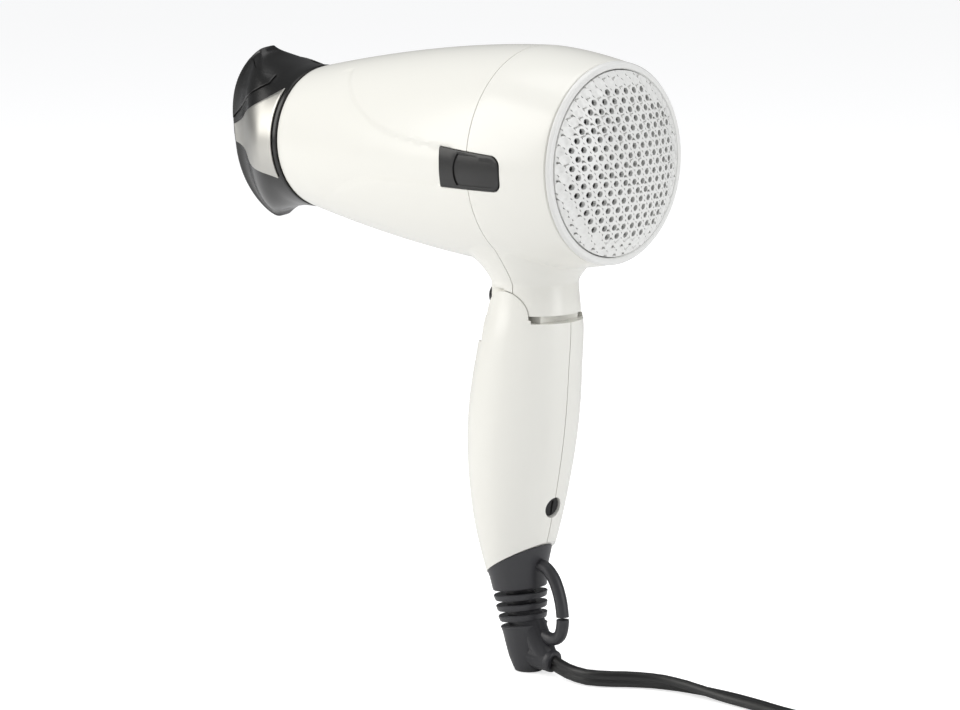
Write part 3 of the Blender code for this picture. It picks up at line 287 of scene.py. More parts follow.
def pivot_block(name, low, high):
    """A block whose corners are counted from the fold axis."""
    return block(name, PIVOT + Vector(low), PIVOT + Vector(high))


def cross_pin(name, half, radius, sides=96):
    """A bar on the fold axis that reaches half to each side."""
    reach = Vector((0, half, 0))
    return pin(name, PIVOT - reach, PIVOT + reach, radius, sides)


def upright(name, low, high, radius, sides, x=0.0):
    """A bar along the neck, between two heights over the fold axis."""
    return pin(name, PIVOT + Vector((x, 0, low)), PIVOT + Vector((x, 0, high)), radius, sides)


def middle_of(name):
    low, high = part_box(name)
    return (low + high) / 2


def flipped(obj):
    edit_all(obj)
    bpy.ops.mesh.flip_normals()
    leave_edit()


def as_object(name, bm):
    """The bmesh as an object of the scene. The bmesh is freed."""
    mesh = bpy.data.meshes.new(name)
    bm.to_mesh(mesh)
    bm.free()
    obj = bpy.data.objects.new(name, mesh)
    bpy.context.scene.collection.objects.link(obj)
    return obj


def skinned(name, rings):
    """A closed tube through rings that hold the same number of points."""
    bm = bmesh.new()
    rings = [[bm.verts.new(point) for point in ring] for ring in rings]
    for low, high in zip(rings, rings[1:]):
        for i in range(len(low)):
            j = (i + 1) % len(low)
            bm.faces.new((low[i], low[j], high[j], high[i]))
    bm.faces.new(rings[0])
    bm.faces.new(list(reversed(rings[-1])))
    bmesh.ops.recalc_face_normals(bm, faces=bm.faces)
    return as_object(name, bm)


def unit_tube(name, sides, rows):
    """A tube of radius 1 from z 0 to 1, left in edit mode."""
    deselect()
    bpy.ops.mesh.primitive_circle_add(vertices=sides, radius=1, location=(0, 0, 0))
    obj = settle(named(name))
    edit_all(obj)
    for _ in range(rows):
        bpy.ops.mesh.extrude_region_move(TRANSFORM_OT_translate={"value": (0, 0, 1 / rows)})
    return obj


def finish(obj, material, body, slot, *nodes, angle=32):
    """Gives a piece its material and body, and the CAD nodes that it stands for."""
    settle(obj)
    bpy.ops.object.shade_smooth_by_angle(angle=math.radians(angle))
    obj.data.materials.clear()
    obj.data.materials.append(bpy.data.materials[material])
    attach(obj, body)
    if nodes:
        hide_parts(*nodes)
    return obj


def smooth_path(route, spacing):
    """Points about spacing apart on a smooth curve through the route's points."""
    route = [Vector(point) for point in route]
    ends = [2 * route[0] - route[1]] + route + [2 * route[-1] - route[-2]]
    fine = []
    for a, b, c, d in zip(ends, ends[1:], ends[2:], ends[3:]):
        for step in range(16):
            t = step / 16
            fine.append(
                0.5 * (2 * b + (c - a) * t + (2 * a - 5 * b + 4 * c - d) * t * t
                       + (3 * b - a - 3 * c + d) * t * t * t)
            )
    fine.append(route[-1])
    run = sum((q - p).length for p, q in zip(fine, fine[1:]))
    count = max(2, round(run / spacing))
    points, walked, target = [fine[0]], 0.0, run / count
    for p, q in zip(fine, fine[1:]):
        step = (q - p).length
        while walked + step >= target * len(points) and len(points) < count:
            points.append(p.lerp(q, (target * len(points) - walked) / step))
        walked += step
    return points + [fine[-1]]


def eased(share):
    share = min(1.0, max(0.0, share))
    return share * share * (3 - 2 * share)


# ---------------------------------------------------------------- material helpers
def new_material(name):
    made = bpy.data.materials.new(name)
    made.use_nodes = True
    return made, made.node_tree, made.node_tree.nodes["Principled BSDF"]


def fill(made, values):
    for socket, value in values.items():
        made.inputs[socket].default_value = value


def node(tree, kind, inputs=None, **values):
    made = tree.nodes.new(kind)
    for key, value in values.items():
        setattr(made, key, value)
    fill(made, inputs or {})
    return made


def wires(tree, *runs):
    """Joins each (source, output, target, input)."""
    for source, output, target, socket in runs:
        tree.links.new(source.outputs[output], target.inputs[socket])


def moulding_group():
    """Fine unevenness of a moulded surface: tint and roughness vary, and a soft ripple bumps."""
    group = bpy.data.node_groups.new("moulding", "ShaderNodeTree")
    for name, kind, value in (
        ("Colour", "NodeSocketColor", (0.8, 0.8, 0.8, 1)), ("Shade", "NodeSocketColor", (0.7, 0.7, 0.7, 1)),
        ("Scale", "NodeSocketFloat", 40.0), ("Roughness", "NodeSocketFloat", 0.3),
        ("Spread", "NodeSocketFloat", 0.05),
    ):
        group.interface.new_socket(name, in_out="INPUT", socket_type=kind).default_value = value
    for name, kind in (
        ("Colour", "NodeSocketColor"), ("Roughness", "NodeSocketFloat"), ("Height", "NodeSocketFloat"),
    ):
        group.interface.new_socket(name, in_out="OUTPUT", socket_type=kind)
    inside = node(group, "NodeGroupInput")
    outside = node(group, "NodeGroupOutput")
    place = node(group, "ShaderNodeTexCoord")
    cloud = node(group, "ShaderNodeTexNoise", {"Detail": 3})
    grain = node(group, "ShaderNodeTexNoise", {"Detail": 2})
    finer = node(group, "ShaderNodeMath", {1: 30}, operation="MULTIPLY")
    blend = node(group, "ShaderNodeMix", data_type="RGBA")
    spread = node(group, "ShaderNodeMath", operation="MULTIPLY")
    rough = node(group, "ShaderNodeMath", operation="ADD")
    wires(
        group,
        (place, "Object", cloud, "Vector"), (place, "Object", grain, "Vector"),
        (inside, "Scale", cloud, "Scale"), (inside, "Scale", finer, 0), (finer, 0, grain, "Scale"),
        (cloud, 0, blend, "Factor"), (inside, "Colour", blend, 6), (inside, "Shade", blend, 7),
        (blend, 2, outside, "Colour"), (cloud, 0, spread, 0), (inside, "Spread", spread, 1),
        (inside, "Roughness", rough, 0), (spread, 0, rough, 1), (rough, 0, outside, "Roughness"),
        (grain, 0, outside, "Height"),
    )


def moulded(name, base, shade, roughness, spread, scale, bump, metallic=0.0, coat=0.0):
    """A plastic or metal finish whose tint, gloss and surface vary a little."""
    _, tree, shader = new_material(name)
    group = node(
        tree, "ShaderNodeGroup",
        {"Colour": (*base, 1), "Shade": (*shade, 1), "Scale": scale, "Roughness": roughness,
         "Spread": spread},
        node_tree=bpy.data.node_groups["moulding"],
    )
    ripple = node(tree, "ShaderNodeBump", {"Strength": bump, "Distance": 0.00002})
    wires(
        tree,
        (group, "Colour", shader, "Base Color"), (group, "Roughness", shader, "Roughness"),
        (group, "Height", ripple, "Height"), (ripple, "Normal", shader, "Normal"),
    )
    fill(shader, {"Metallic": metallic, "Coat Weight": coat, "Coat Roughness": 0.04})


def brushed(name, base, shade, across, roughness=0.34):
    """Metal brushed along one axis: fine streaks vary its tint, gloss and surface."""
    _, tree, shader = new_material(name)
    place = node(tree, "ShaderNodeTexCoord")
    mapping = node(tree, "ShaderNodeMapping", {"Scale": across})
    streaks = node(tree, "ShaderNodeTexNoise", {"Scale": 1.0, "Detail": 4})
    blend = node(tree, "ShaderNodeMix", {6: (*shade, 1), 7: (*base, 1)}, data_type="RGBA")
    rough = node(tree, "ShaderNodeMapRange", {"To Min": roughness - 0.06, "To Max": roughness + 0.10})
    ripple = node(tree, "ShaderNodeBump", {"Strength": 0.12, "Distance": 0.00003})
    wires(
        tree,
        (place, "Object", mapping, "Vector"), (mapping, "Vector", streaks, "Vector"),
        (streaks, 0, blend, "Factor"), (blend, 2, shader, "Base Color"),
        (streaks, 0, rough, "Value"), (rough, "Result", shader, "Roughness"),
        (streaks, 0, ripple, "Height"), (ripple, "Normal", shader, "Normal"),
    )
    fill(shader, {"Metallic": 0.9})


def woven(name, base, gap, count):
    """A woven filter: crossed threads from two sine waves, darker between them."""
    _, tree, shader = new_material(name)
    place = node(tree, "ShaderNodeTexCoord")
    parts = node(tree, "ShaderNodeSeparateXYZ")
    both = node(tree, "ShaderNodeMath", operation="MINIMUM")
    blend = node(tree, "ShaderNodeMix", {6: (*base, 1), 7: (*gap, 1)}, data_type="RGBA")
    wires(
        tree,
        (place, "Object", parts, "Vector"), (both, 0, blend, "Factor"), (blend, 2, shader, "Base Color"),
    )
    for socket, axis in enumerate("YZ"):
        scaled = node(tree, "ShaderNodeMath", {1: count}, operation="MULTIPLY")
        sine = node(tree, "ShaderNodeMath", operation="SINE")
        lifted = node(tree, "ShaderNodeMath", operation="ABSOLUTE")
        wires(
            tree,
            (parts, axis, scaled, 0), (scaled, 0, sine, 0), (sine, 0, lifted, 0), (lifted, 0, both, socket),
        )
    fill(shader, {"Roughness": 0.8})


def darker(tint, share):
    return tuple(part * share for part in tint)


def build_materials():
    moulding_group()
    tint = colours()
    pearl, grille, black = tuple(tint.pearl), tuple(tint.grille), tuple(tint.black)
    charcoal, cord, silver = tuple(tint.charcoal), tuple(tint.cord), tuple(tint.silver)
    moulded("pearl_white", pearl, darker(pearl, 0.985), 0.26, 0.04, 18, 0.03, coat=0.25)
    moulded("grille_white", grille, darker(grille, 0.98), 0.34, 0.05, 40, 0.05)
    moulded("piano_black", black, darker(black, 1.3), 0.10, 0.03, 25, 0.01)
    moulded("matte_black", (0.02, 0.02, 0.021), (0.026, 0.026, 0.027), 0.42, 0.08, 60, 0.25)
    moulded("charcoal_soft_plastic", charcoal, darker(charcoal, 1.35), 0.40, 0.10, 70, 0.20)
    moulded("cord_black", cord, darker(cord, 1.5), 0.36, 0.12, 50, 0.15)
    brushed("brushed_silver", silver, darker(silver, 0.82), (60, 900, 1500))
    moulded("steel", (0.52, 0.52, 0.52), (0.42, 0.42, 0.42), 0.3, 0.12, 80, 0.2, metallic=1.0)
    moulded("plated_brass", (0.74, 0.72, 0.66), (0.66, 0.62, 0.52), 0.2, 0.1, 90, 0.1, metallic=1.0)
    woven("filter_mesh", (0.055, 0.055, 0.057), (0.008, 0.008, 0.008), 5200)
    moulded("motor_plastic", (0.055, 0.055, 0.060), (0.075, 0.075, 0.080), 0.45, 0.1, 60, 0.2)
    moulded("circuit_board", (0.02, 0.11, 0.05), (0.03, 0.14, 0.07), 0.4, 0.15, 120, 0.2)
    moulded("mica", (0.52, 0.44, 0.30), (0.68, 0.60, 0.46), 0.5, 0.2, 160, 0.4)
    moulded("heating_wire", (0.36, 0.33, 0.31), (0.22, 0.17, 0.14), 0.4, 0.2, 150, 0.3, metallic=1.0)
    moulded("heat_plastic", (0.022, 0.022, 0.022), (0.032, 0.030, 0.028), 0.45, 0.1, 60, 0.2)
    moulded("wire_red", (0.40, 0.02, 0.015), (0.32, 0.015, 0.012), 0.4, 0.1, 80, 0.1)
    moulded("wire_blue", (0.02, 0.06, 0.36), (0.015, 0.05, 0.28), 0.4, 0.1, 80, 0.1)
    slots = {part["node"]: part["material_slot"] for part in frame["record"]["subparts"]}
    for name, obj in frame["nodes"].items():
        obj.data.materials.clear()
        obj.data.materials.append(bpy.data.materials[slots[name]])


# ---------------------------------------------------------------- outlines of the form
BARREL_CREST = 0.005
SEAM_X = 0.003
SPIGOT_STEP = 0.0035
SPIGOT_LENGTH = 0.007
NECK_FOOT = 0.0013
NECK_RADIUS = 0.0151
TONGUE_HALF = 0.0128
DRUM_RADIUS = 0.0114
DRUM_HALF = 0.0094
EAR_RADIUS = 0.0092
NECK_START = 0.0110  # over the fold axis, where the neck begins to flare into the barrel
NECK_ROW = 0.0004
NECK_ROWS = 30
# height over the fold axis, and share of the neck's radius
NECK_COLLAR = ((NECK_FOOT, 1.053), (0.003, 1.045), (0.005, 1.035), (0.0085, 1.008))
INSERT_FRONT = 0.0095  # the side inserts' front ends, ahead of the neck
LIP_START, LIP_RUN = 0.0006, 0.0014  # how the channel's edges sink from the skin
NOTCH_DEPTH = 0.0168  # the handle's notch, under the fold axis
DIAL_WAY = Vector((math.cos(math.radians(12)), 0, -math.sin(math.radians(12))))
# height fraction from the handle's foot to the fold axis, and share of the handle's radius
HANDLE_OUTLINE = (
    (0.00, 0.51), (0.06, 0.54), (0.144, 0.653), (0.236, 0.768), (0.338, 0.863),
    (0.472, 0.953), (0.585, 0.995), (0.697, 1.0), (0.831, 0.963), (0.944, 0.921),
    (1.036, 0.842), (1.11, 0.802),
)
HANDLE_FOOT = 0.027
HANDLE_SWEEP = 0.0078
NOZZLE_ARCH = 0.0156
SLOT_HALF_HEIGHT = 0.0311
SLOT_HALF_WIDTH = 0.0065
NOZZLE_TURN = math.radians(6.9)


def at(x, y=0.0, z=0.0):
    """A point given by its distance behind the neck's centre line, its side and its height."""
    return Vector((AXIS.x + x, y, z))


def barrel_radius(x):
    size = sizes()
    if x < BARREL_CREST:
        share = (BARREL_CREST - x) / (BARREL_CREST + size.barrel_front)
        return size.barrel_radius - (size.barrel_radius - size.front_radius) * min(1, share) ** 1.7
    share = (x - BARREL_CREST) / (size.barrel_rear - BARREL_CREST)
    return size.barrel_radius - (size.barrel_radius - size.rear_radius) * min(1, share) ** 1.6


def handle_share(fraction):
    """The handle's outline as one smooth line through its listed points."""
    points = HANDLE_OUTLINE
    fraction = min(max(fraction, points[0][0]), points[-1][0])
    for index in range(len(points) - 1):
        if fraction <= points[index + 1][0]:
            break
    (x0, y0), (x1, y1) = points[index], points[index + 1]
    before = points[max(0, index - 1)]
    after = points[min(len(points) - 1, index + 2)]
    slope0 = (y1 - before[1]) / (x1 - before[0])
    slope1 = (after[1] - y0) / (after[0] - x0)
    t = (fraction - x0) / (x1 - x0)
    run = x1 - x0
    return ((2 * t**3 - 3 * t**2 + 1) * y0 + (t**3 - 2 * t**2 + t) * run * slope0
            + (-2 * t**3 + 3 * t**2) * y1 + (t**3 - t**2) * run * slope1)


def handle_at(height):
    """(centre, radius) of the handle's skin at a height."""
    fraction = (height - HANDLE_FOOT) / (PIVOT.z - HANDLE_FOOT)
    lean = HANDLE_SWEEP * (1 - min(fraction, 1.0) ** 2)
    return Vector((PIVOT.x - lean, 0, height)), handle_share(fraction) * sizes().handle_radius


# ---------------------------------------------------------------- barrel and neck
def channel_depth(x, z):
    """Depth of the soft channel that runs back into each side insert, at a place on the flank."""
    if not -0.085 < x < -0.004:
        return 0.0
    rise = z - AXIS.z
    upper = 0.0054 + 0.0015 * eased((-x - INSERT_FRONT) / 0.02)
    upper += 0.0165 * max(0.0, (-x - 0.020) / 0.048) ** 2.2
    lower = -0.0080 - 0.0004 * eased((-x - INSERT_FRONT) / 0.03)
    lower -= 0.010 * max(0.0, (-x - 0.038) / 0.036) ** 2.0
    below, above = upper - rise, rise - lower
    if below < -LIP_START or above < -LIP_START:
        return 0.0
    sink_below = eased((below + LIP_START) / LIP_RUN)
    sink_above = eased((above + LIP_START) / LIP_RUN)
    crease = sink_below * math.exp(-max(0.0, below) / 0.0080)
    crease += 0.7 * (sink_above * math.exp(-max(0.0, above) / 0.0060))
    fade = eased((0.083 + x) / 0.022)
    return sizes().channel_depth * fade * (sink_below * sink_above) * min(1.0, crease)


def barrel_form():
    size = sizes()
    front, rear = -size.barrel_front, size.barrel_rear
    profile = [(rear, 0), (rear, size.rear_radius - 0.0004), (rear - 0.0003, size.rear_radius)]
    count = 120
    for step in range(1, count):
        x = rear + (front + 0.0014 - rear) * step / count
        profile.append((x, barrel_radius(x)))
    radius = size.front_radius
    profile += [(front + 0.0007, radius), (front + 0.0002, radius - 0.0003), (front, radius - 0.0008),
                (front, radius - SPIGOT_STEP), (front - SPIGOT_LENGTH, radius - SPIGOT_STEP),
                (front - SPIGOT_LENGTH, 0)]
    form = turned("barrel_form", profile, AXIS, (1, 0, 0), 224)

    def press(point):
        depth = channel_depth(point.x - AXIS.x, point.z) if abs(point.y) > 0.015 else 0.0
        if depth:
            out = Vector((0, point.y, point.z - AXIS.z))
            point -= out.normalized() * depth
        return point

    return reshape(form, press)


def under_barrel(way, reach):
    """The point of the barrel's underside that is reach from the neck's centre line."""
    point = PIVOT + way * reach
    skin = barrel_radius(point.x - AXIS.x)
    point.z = AXIS.z - math.sqrt(skin**2 - point.y**2) + 0.00003
    return point


def neck_form():
    """The neck: a plain tube that flares and runs smoothly into the barrel's underside."""
    heights = [level for level, _ in NECK_COLLAR]
    heights += [NECK_START + NECK_ROW * row for row in range(NECK_ROWS + 1)] + [0.030, 0.036]
    centres = [PIVOT + Vector((0, 0, height)) for height in heights]
    form = stacked("neck_form", centres, [NECK_RADIUS] * len(heights), 120)

    def flare(point):
        height = point.z - PIVOT.z
        flat = Vector((point.x - PIVOT.x, point.y, 0))
        if flat.length < 1e-6:
            return point
        way = flat.normalized()
        slim = 1 - 0.085 * eased((-way.x - 0.45) / 0.3)
        for level, share in NECK_COLLAR:
            if abs(height - level) < 0.0002:
                grown = way * NECK_RADIUS * (1 + (share - 1) * (slim > 0.999)) * slim
                return PIVOT + grown + Vector((0, 0, height))
        reach = 0.0208 + 0.0039 * way.y**2
        meet = under_barrel(way, reach)
        if height > 0.0295:
            share, rise = (0.6, 0.006) if height > 0.033 else (0.9, 0.002)
            return Vector((PIVOT.x + way.x * reach * share, way.y * reach * share, meet.z + rise))
        leave = (under_barrel(way, reach + 0.0005) - meet).normalized()
        a = PIVOT + way * NECK_RADIUS * slim + Vector((0, 0, NECK_START))
        t = min(1.0, max(0.0, (height - NECK_START) / (NECK_ROW * NECK_ROWS)))
        return ((2 * t**3 - 3 * t**2 + 1) * a + (t**3 - 2 * t**2 + t) * Vector((0, 0, 0.0075))
                + (-2 * t**3 + 3 * t**2) * meet + (t**3 - t**2) * leave * 0.0060)

    return reshape(form, flare)


def build_shells():
    size = sizes()
    rear, front = size.barrel_rear, size.barrel_front
    form = carve(barrel_form(), neck_form(), operation="UNION")
    mouth_radius = size.rear_radius - 0.0016
    inner = [(rear + 0.001, 0), (rear + 0.001, mouth_radius), (rear - 0.0036, mouth_radius)]
    for step in range(25):
        x = rear - 0.004 + (0.0064 - front - rear) * step / 24
        inner.append((x, barrel_radius(x) - size.wall))
    bore = size.front_radius - SPIGOT_STEP - 0.0016
    inner += [(-front + size.wall, bore), (-front - 0.009, bore), (-front - 0.009, 0)]
    carve(form, turned("barrel_hollow", inner, AXIS, (1, 0, 0), 96))
    carve(form, upright("neck_bore", -0.001, 0.034, NECK_RADIUS - 0.0030, 48))
    drum = cross_pin("tongue_drum", DRUM_HALF, DRUM_RADIUS)
    carve(drum, upright("drum_round", -0.02, 0.02, NECK_RADIUS * 1.053, 96), operation="INTERSECT")
    wide = 0.03
    for side, _ in SIDES:
        inner_y, outer_y = side * TONGUE_HALF, side * wide
        ear = pin("ear_room", PIVOT + Vector((0, inner_y, 0)), PIVOT + Vector((0, outer_y, 0)),
                  EAR_RADIUS + size.seam, 96)
        low = (-wide, min(inner_y, outer_y), -0.01)
        high = (0, max(inner_y, outer_y), EAR_RADIUS + 0.001)
        carve(form, ear, pivot_block("front_room", low, high))
    carve(form, drum, operation="UNION")
    carve(form, upright("wire_bore", -0.02, 0.013, 0.005, 32, x=0.0035))
    low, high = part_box("cool_button")
    mouth_z = low.z / 2 + high.z / 2
    carve(form, pin("button_mouth", (PIVOT.x - 0.03, 0, mouth_z), (PIVOT.x - 0.0105, 0, mouth_z), 0.0047))
    for side, word in SIDES:
        carve(form, insert_form(f"pocket_{word}", side, 0.0003, -0.0012, 0.003))
    front, rear = split(form, 0, AXIS.x + SEAM_X, size.seam, "front_cover", "rear_cover")
    finish(front, "pearl_white", "barrel", "pearl_white", "front_shell")
    finish(rear, "pearl_white", "barrel", "pearl_white", "rear_shell")


def insert_form(name, side, margin, low, high):
    """A block with the side insert's outline, between two offsets from the barrel's skin."""
    front, rear = -INSERT_FRONT - margin, 0.0166 + margin
    top_front, top_rear = 0.0053 + margin, 0.0037 + margin
    bottom = -0.0079 - margin
    top_corner = 0.0038
    low_corner = top_corner * 0.8
    points = [(front, bottom), (front, top_front)]
    for step in range(9):
        angle = math.pi / 2 - (math.pi / 2 - 0.06) * step / 8
        points.append((rear - top_corner + top_corner * math.cos(angle),
                       top_rear - top_corner + top_corner * math.sin(angle)))
    for step in range(9):
        angle = -(math.pi / 2) * step / 8
        points.append((rear - low_corner + low_corner * math.cos(angle),
                       bottom + low_corner + low_corner * math.sin(angle)))
    obj = drawn_line(name, [at(x, side * 0.025, AXIS.z + z) for x, z in points])
    bpy.ops.mesh.select_all(action="SELECT")
    bpy.ops.mesh.edge_face_add()
    bpy.ops.mesh.extrude_region_move(TRANSFORM_OT_translate={"value": (0, side * 0.02, 0)})
    leave_edit()
    outward(obj)
    spare = 0.002
    run = rear - front + 2 * spare
    profile = []
    for start, sense, offset in ((front - spare, 1, high), (rear + spare, -1, low)):
        for step in range(13):
            x = start + sense * run * step / 12
            profile.append((x, barrel_radius(x) + offset))
    profile.append(profile[0])
    layer = turned(name + "_layer", profile, AXIS, (1, 0, 0), 160)
    return carve(obj, layer, operation="INTERSECT")


def build_inserts():
    for side, word in SIDES:
        obj = insert_form(f"black_insert_{word}", side, 0, -0.0009, 0.0003)
        dish = insert_form("dish", side, -0.0010, -0.0002, 0.003)
        inner, outer = (at(0.0065, side * y, AXIS.z - 0.0022) for y in (0.030, 0.045))
        carve(dish, pin("dip", inner, outer, 0.0095, 64), operation="INTERSECT")
        carve(obj, dish)
        softened(obj, 0.0003, 3)
        finish(obj, "piano_black", "barrel", "piano_black", f"side_insert_{word}")


# ---------------------------------------------------------------- intake
def dome_height(radius, rim, bulge):
    sphere = (rim**2 + bulge**2) / (2 * bulge)
    return bulge - sphere + math.sqrt(max(sphere**2 - radius**2, 0.0))


def hex_cell(across, up, hole, sides):
    """One cell of the perforated sheet: a six-sided tile with a round hole."""
    deselect()
    bpy.ops.mesh.primitive_circle_add(vertices=sides, radius=hole, location=(0, 0, 0))
    obj = named("cell")
    edit_all(obj)
    bpy.ops.mesh.extrude_region_move(TRANSFORM_OT_translate={"value": (0, 0, 0)})
    bpy.ops.transform.resize(value=(1.25, 1.25, 1))
    bpy.ops.mesh.extrude_region_move(TRANSFORM_OT_translate={"value": (0, 0, 0)})
    bpy.ops.transform.resize(value=(2, 2, 1))
    leave_edit()
    half, third = across / 2, up * 2 / 3
    first = math.atan2(third / 2, half)
    corner_angles = [first, math.pi / 2, math.pi - first, math.pi + first,
                     1.5 * math.pi, 2 * math.pi - first, 2 * math.pi + first]

    def to_corners(point):
        """Turns every third spoke to run through a corner of the tile."""
        spoke = round(math.atan2(point.y, point.x) % (2 * math.pi) / (2 * math.pi / sides)) % sides
        lap, part = divmod(spoke, sides // 6)
        low, high = corner_angles[lap], corner_angles[lap + 1]
        angle = low + (high - low) * part / (sides // 6)
        return Vector((math.cos(angle), math.sin(angle), 0)) * point.length

    reshape(obj, to_corners)
    corners = [Vector((half, -third / 2, 0)), Vector((half, third / 2, 0)), Vector((0, third, 0)),
               Vector((-half, third / 2, 0)), Vector((-half, -third / 2, 0)), Vector((0, -third, 0))]
    edges = list(zip(corners, corners[1:] + corners[:1]))

    def to_border(point):
        if point.length < hole * 2:
            return point
        way = point.normalized()
        for a, b in edges:
            span = b - a
            base = way.x * span.y - way.y * span.x
            if abs(base) < 1e-12:
                continue
            reach = (a.x * span.y - a.y * span.x) / base
            share = (a.x * way.y - a.y * way.x) / base
            if reach > 0 and -1e-6 <= share <= 1 + 1e-6:
                return way * reach
        return point

    return reshape(obj, to_border)


def build_grille():
    size = sizes()
    ring_width, ring_depth = 0.0026, 0.0018
    start = size.barrel_rear + size.seam
    face = start + ring_depth
    rim = size.rear_radius - ring_width - size.seam
    across, up = size.hole_pitch, size.row_pitch
    cell = hex_cell(across, up, size.hole_radius, 18)
    cell_mesh = bmesh.new()
    cell_mesh.from_mesh(cell.data)
    source = [v.co.copy() for v in cell_mesh.verts]
    source_faces = [[v.index for v in f.verts] for f in cell_mesh.faces]
    cell_mesh.free()
    bpy.data.objects.remove(cell)
    bm = bmesh.new()
    rows = int(rim / up) + 2
    columns = int(rim / across) + 2
    for row in range(-rows, rows + 1):
        for column in range(-columns, columns + 1):
            y = (column + 0.5 * (row % 2)) * across + 0.0010
            z = row * up + 0.0004
            if math.hypot(y, z) > rim + across:
                continue
            open_hole = math.hypot(y, z) < 0.0262
            verts = [bm.verts.new((y + p.x, z + p.y, 0)) for p in source]
            for corners in source_faces:
                bm.faces.new([verts[i] for i in corners])
            if not open_hole:
                inner = [v for v, p in zip(verts, source) if p.length < size.hole_radius * 1.05]
                for vertex in inner:
                    vertex.co.z = -0.00012
                bm.faces.new(sorted(inner, key=lambda v: math.atan2(v.co.y - z, v.co.x - y)))
    bmesh.ops.remove_doubles(bm, verts=bm.verts, dist=0.00002)
    dome = as_object("perforated_dome", bm)
    outward(dome)
    trim = pin("trim", (0, 0, -0.01), (0, 0, 0.01), rim, 128)
    applied(dome, "SOLIDIFY", thickness=0.0014, offset=-1)
    carve(dome, trim, operation="INTERSECT")

    def lay(point):
        radius = math.hypot(point.x, point.y)
        height = face + dome_height(radius, rim, size.dome_bulge) + point.z
        return at(height, point.x, AXIS.z + point.y)

    reshape(dome, lay)
    outward(dome)
    finish(dome, "grille_white", "barrel", "grille_white", "rear_grille", angle=40)
    inner, outer = rim + size.seam, size.rear_radius
    profile = [(start, inner), (start, outer - 0.0003), (start + 0.0003, outer),
               (face - 0.0008, outer - 0.0001), (face - 0.0002, outer - 0.0006), (face, outer - 0.0013),
               (face - 0.0001, inner + 0.0004), (face - 0.0006, inner), (start, inner)]
    ring = turned("intake_ring", profile, AXIS, (1, 0, 0), 160)
    finish(ring, "grille_white", "barrel", "grille_white", "grille_ring")


# ---------------------------------------------------------------- nozzle
def nozzle_sizes(along):
    base = sizes().front_radius + 0.0003
    start = (SPIGOT_LENGTH + 0.0006) / sizes().nozzle_length
    bend = max(0.0, (along - start) / (1 - start))
    ease = bend * bend * (3 - 2 * bend)
    half_width = base + (SLOT_HALF_WIDTH - base) * ease
    half_height = base + (SLOT_HALF_HEIGHT - base) * bend**1.25
    return ease, half_width, half_height, 2 + 2.6 * ease


def nozzle_point(along, around, offset=0.0):
    size = sizes()
    ease, half_width, half_height, squareness = nozzle_sizes(along)
    side, rise = math.cos(around), math.sin(around)
    y = (half_width + offset) * math.copysign(abs(side) ** (2 / squareness), side)
    z = (half_height + offset) * math.copysign(abs(rise) ** (2 / squareness), rise)
    arch = NOZZLE_ARCH * ease * min(1.0, abs(z) / SLOT_HALF_HEIGHT) ** (1 + 1.7 * ease)
    x = -size.barrel_front - size.seam - along * (size.nozzle_length - size.seam - arch)
    turned_y = y * math.cos(NOZZLE_TURN) - z * math.sin(NOZZLE_TURN)
    turned_z = y * math.sin(NOZZLE_TURN) + z * math.cos(NOZZLE_TURN)
    return at(x, turned_y, AXIS.z + turned_z)


def angle_at(along, height, side):
    """The angle round the nozzle where its skin is at a height, on the left or right flank."""
    _, _, half_height, squareness = nozzle_sizes(along)
    share = min(1.0, abs(height) / half_height)
    angle = math.copysign(math.asin(share ** (squareness / 2)), height)
    return math.pi - angle if side < 0 else angle


def nozzle_plate(name, across, rule, thickness):
    """A thin plate on the nozzle's flank, laid by rule(u, v)."""
    plate = sheet_on(name, across, 24, rule)
    faces = plate.data.polygons
    if sum(face.normal.y * face.center.y * face.area for face in faces) < 0:
        flipped(plate)
    applied(plate, "SOLIDIFY", thickness=thickness, offset=-1)
    return softened(plate, 0.00018, 2, 40)


def build_nozzle():
    shell = unit_tube("nozzle_skin", 160, 30)
    leave_edit()
    reshape(shell, lambda p: nozzle_point(min(1.0, max(0.0, p.z)), math.atan2(p.y, p.x)))
    edit_all(shell)
    bpy.ops.mesh.normals_make_consistent(inside=False)
    leave_edit()
    applied(shell, "SOLIDIFY", thickness=sizes().nozzle_wall, offset=-1, use_even_offset=True)
    softened(shell, 0.00025, 2, 50)
    finish(shell, "piano_black", "nozzle", "piano_black", "nozzle_shell")
    for side, word in SIDES:
        def panel(u, v, side=side):
            along = 0.045 + 0.925 * u
            half = 0.0152 + (0.0032 - 0.0152) * u**0.9
            rise = 0.0046 * (1 - u) ** 1.2
            return nozzle_point(along, angle_at(along, rise + half * (2 * v - 1), side), 0.0007)

        def wing(u, v, side=side):
            along = 0.985 - 0.72 * u
            low = 0.0052 + 0.0158 * u**0.8
            high = 0.0272 - 0.0040 * u
            return nozzle_point(along, angle_at(along, low + (high - low) * v, side), 0.00055)

        plate = nozzle_plate(f"silver_panel_{word}", 40, panel, 0.0006)
        finish(plate, "brushed_silver", "nozzle", "brushed_silver", f"nozzle_panel_{word}")
        plate = nozzle_plate(f"black_wing_upper_{word}", 44, wing, 0.0005)
        finish(plate, "piano_black", "nozzle", "piano_black")


# ---------------------------------------------------------------- handle
def lower_edge(name, offset, above):
    """A block whose face is the handle's slanted lower edge, moved by offset."""
    extent = 0.08
    slant = -math.radians(30)
    anchor = Vector((PIVOT.x - HANDLE_SWEEP, 0, 0.0378 + offset))
    lift = Matrix.Rotation(slant, 4, "Y") @ Vector((0, 0, extent / 2 if above else -extent / 2))
    half = Vector((extent, extent, extent)) / 2
    return block(name, anchor + lift - half, anchor + lift + half, (0, slant, 0))


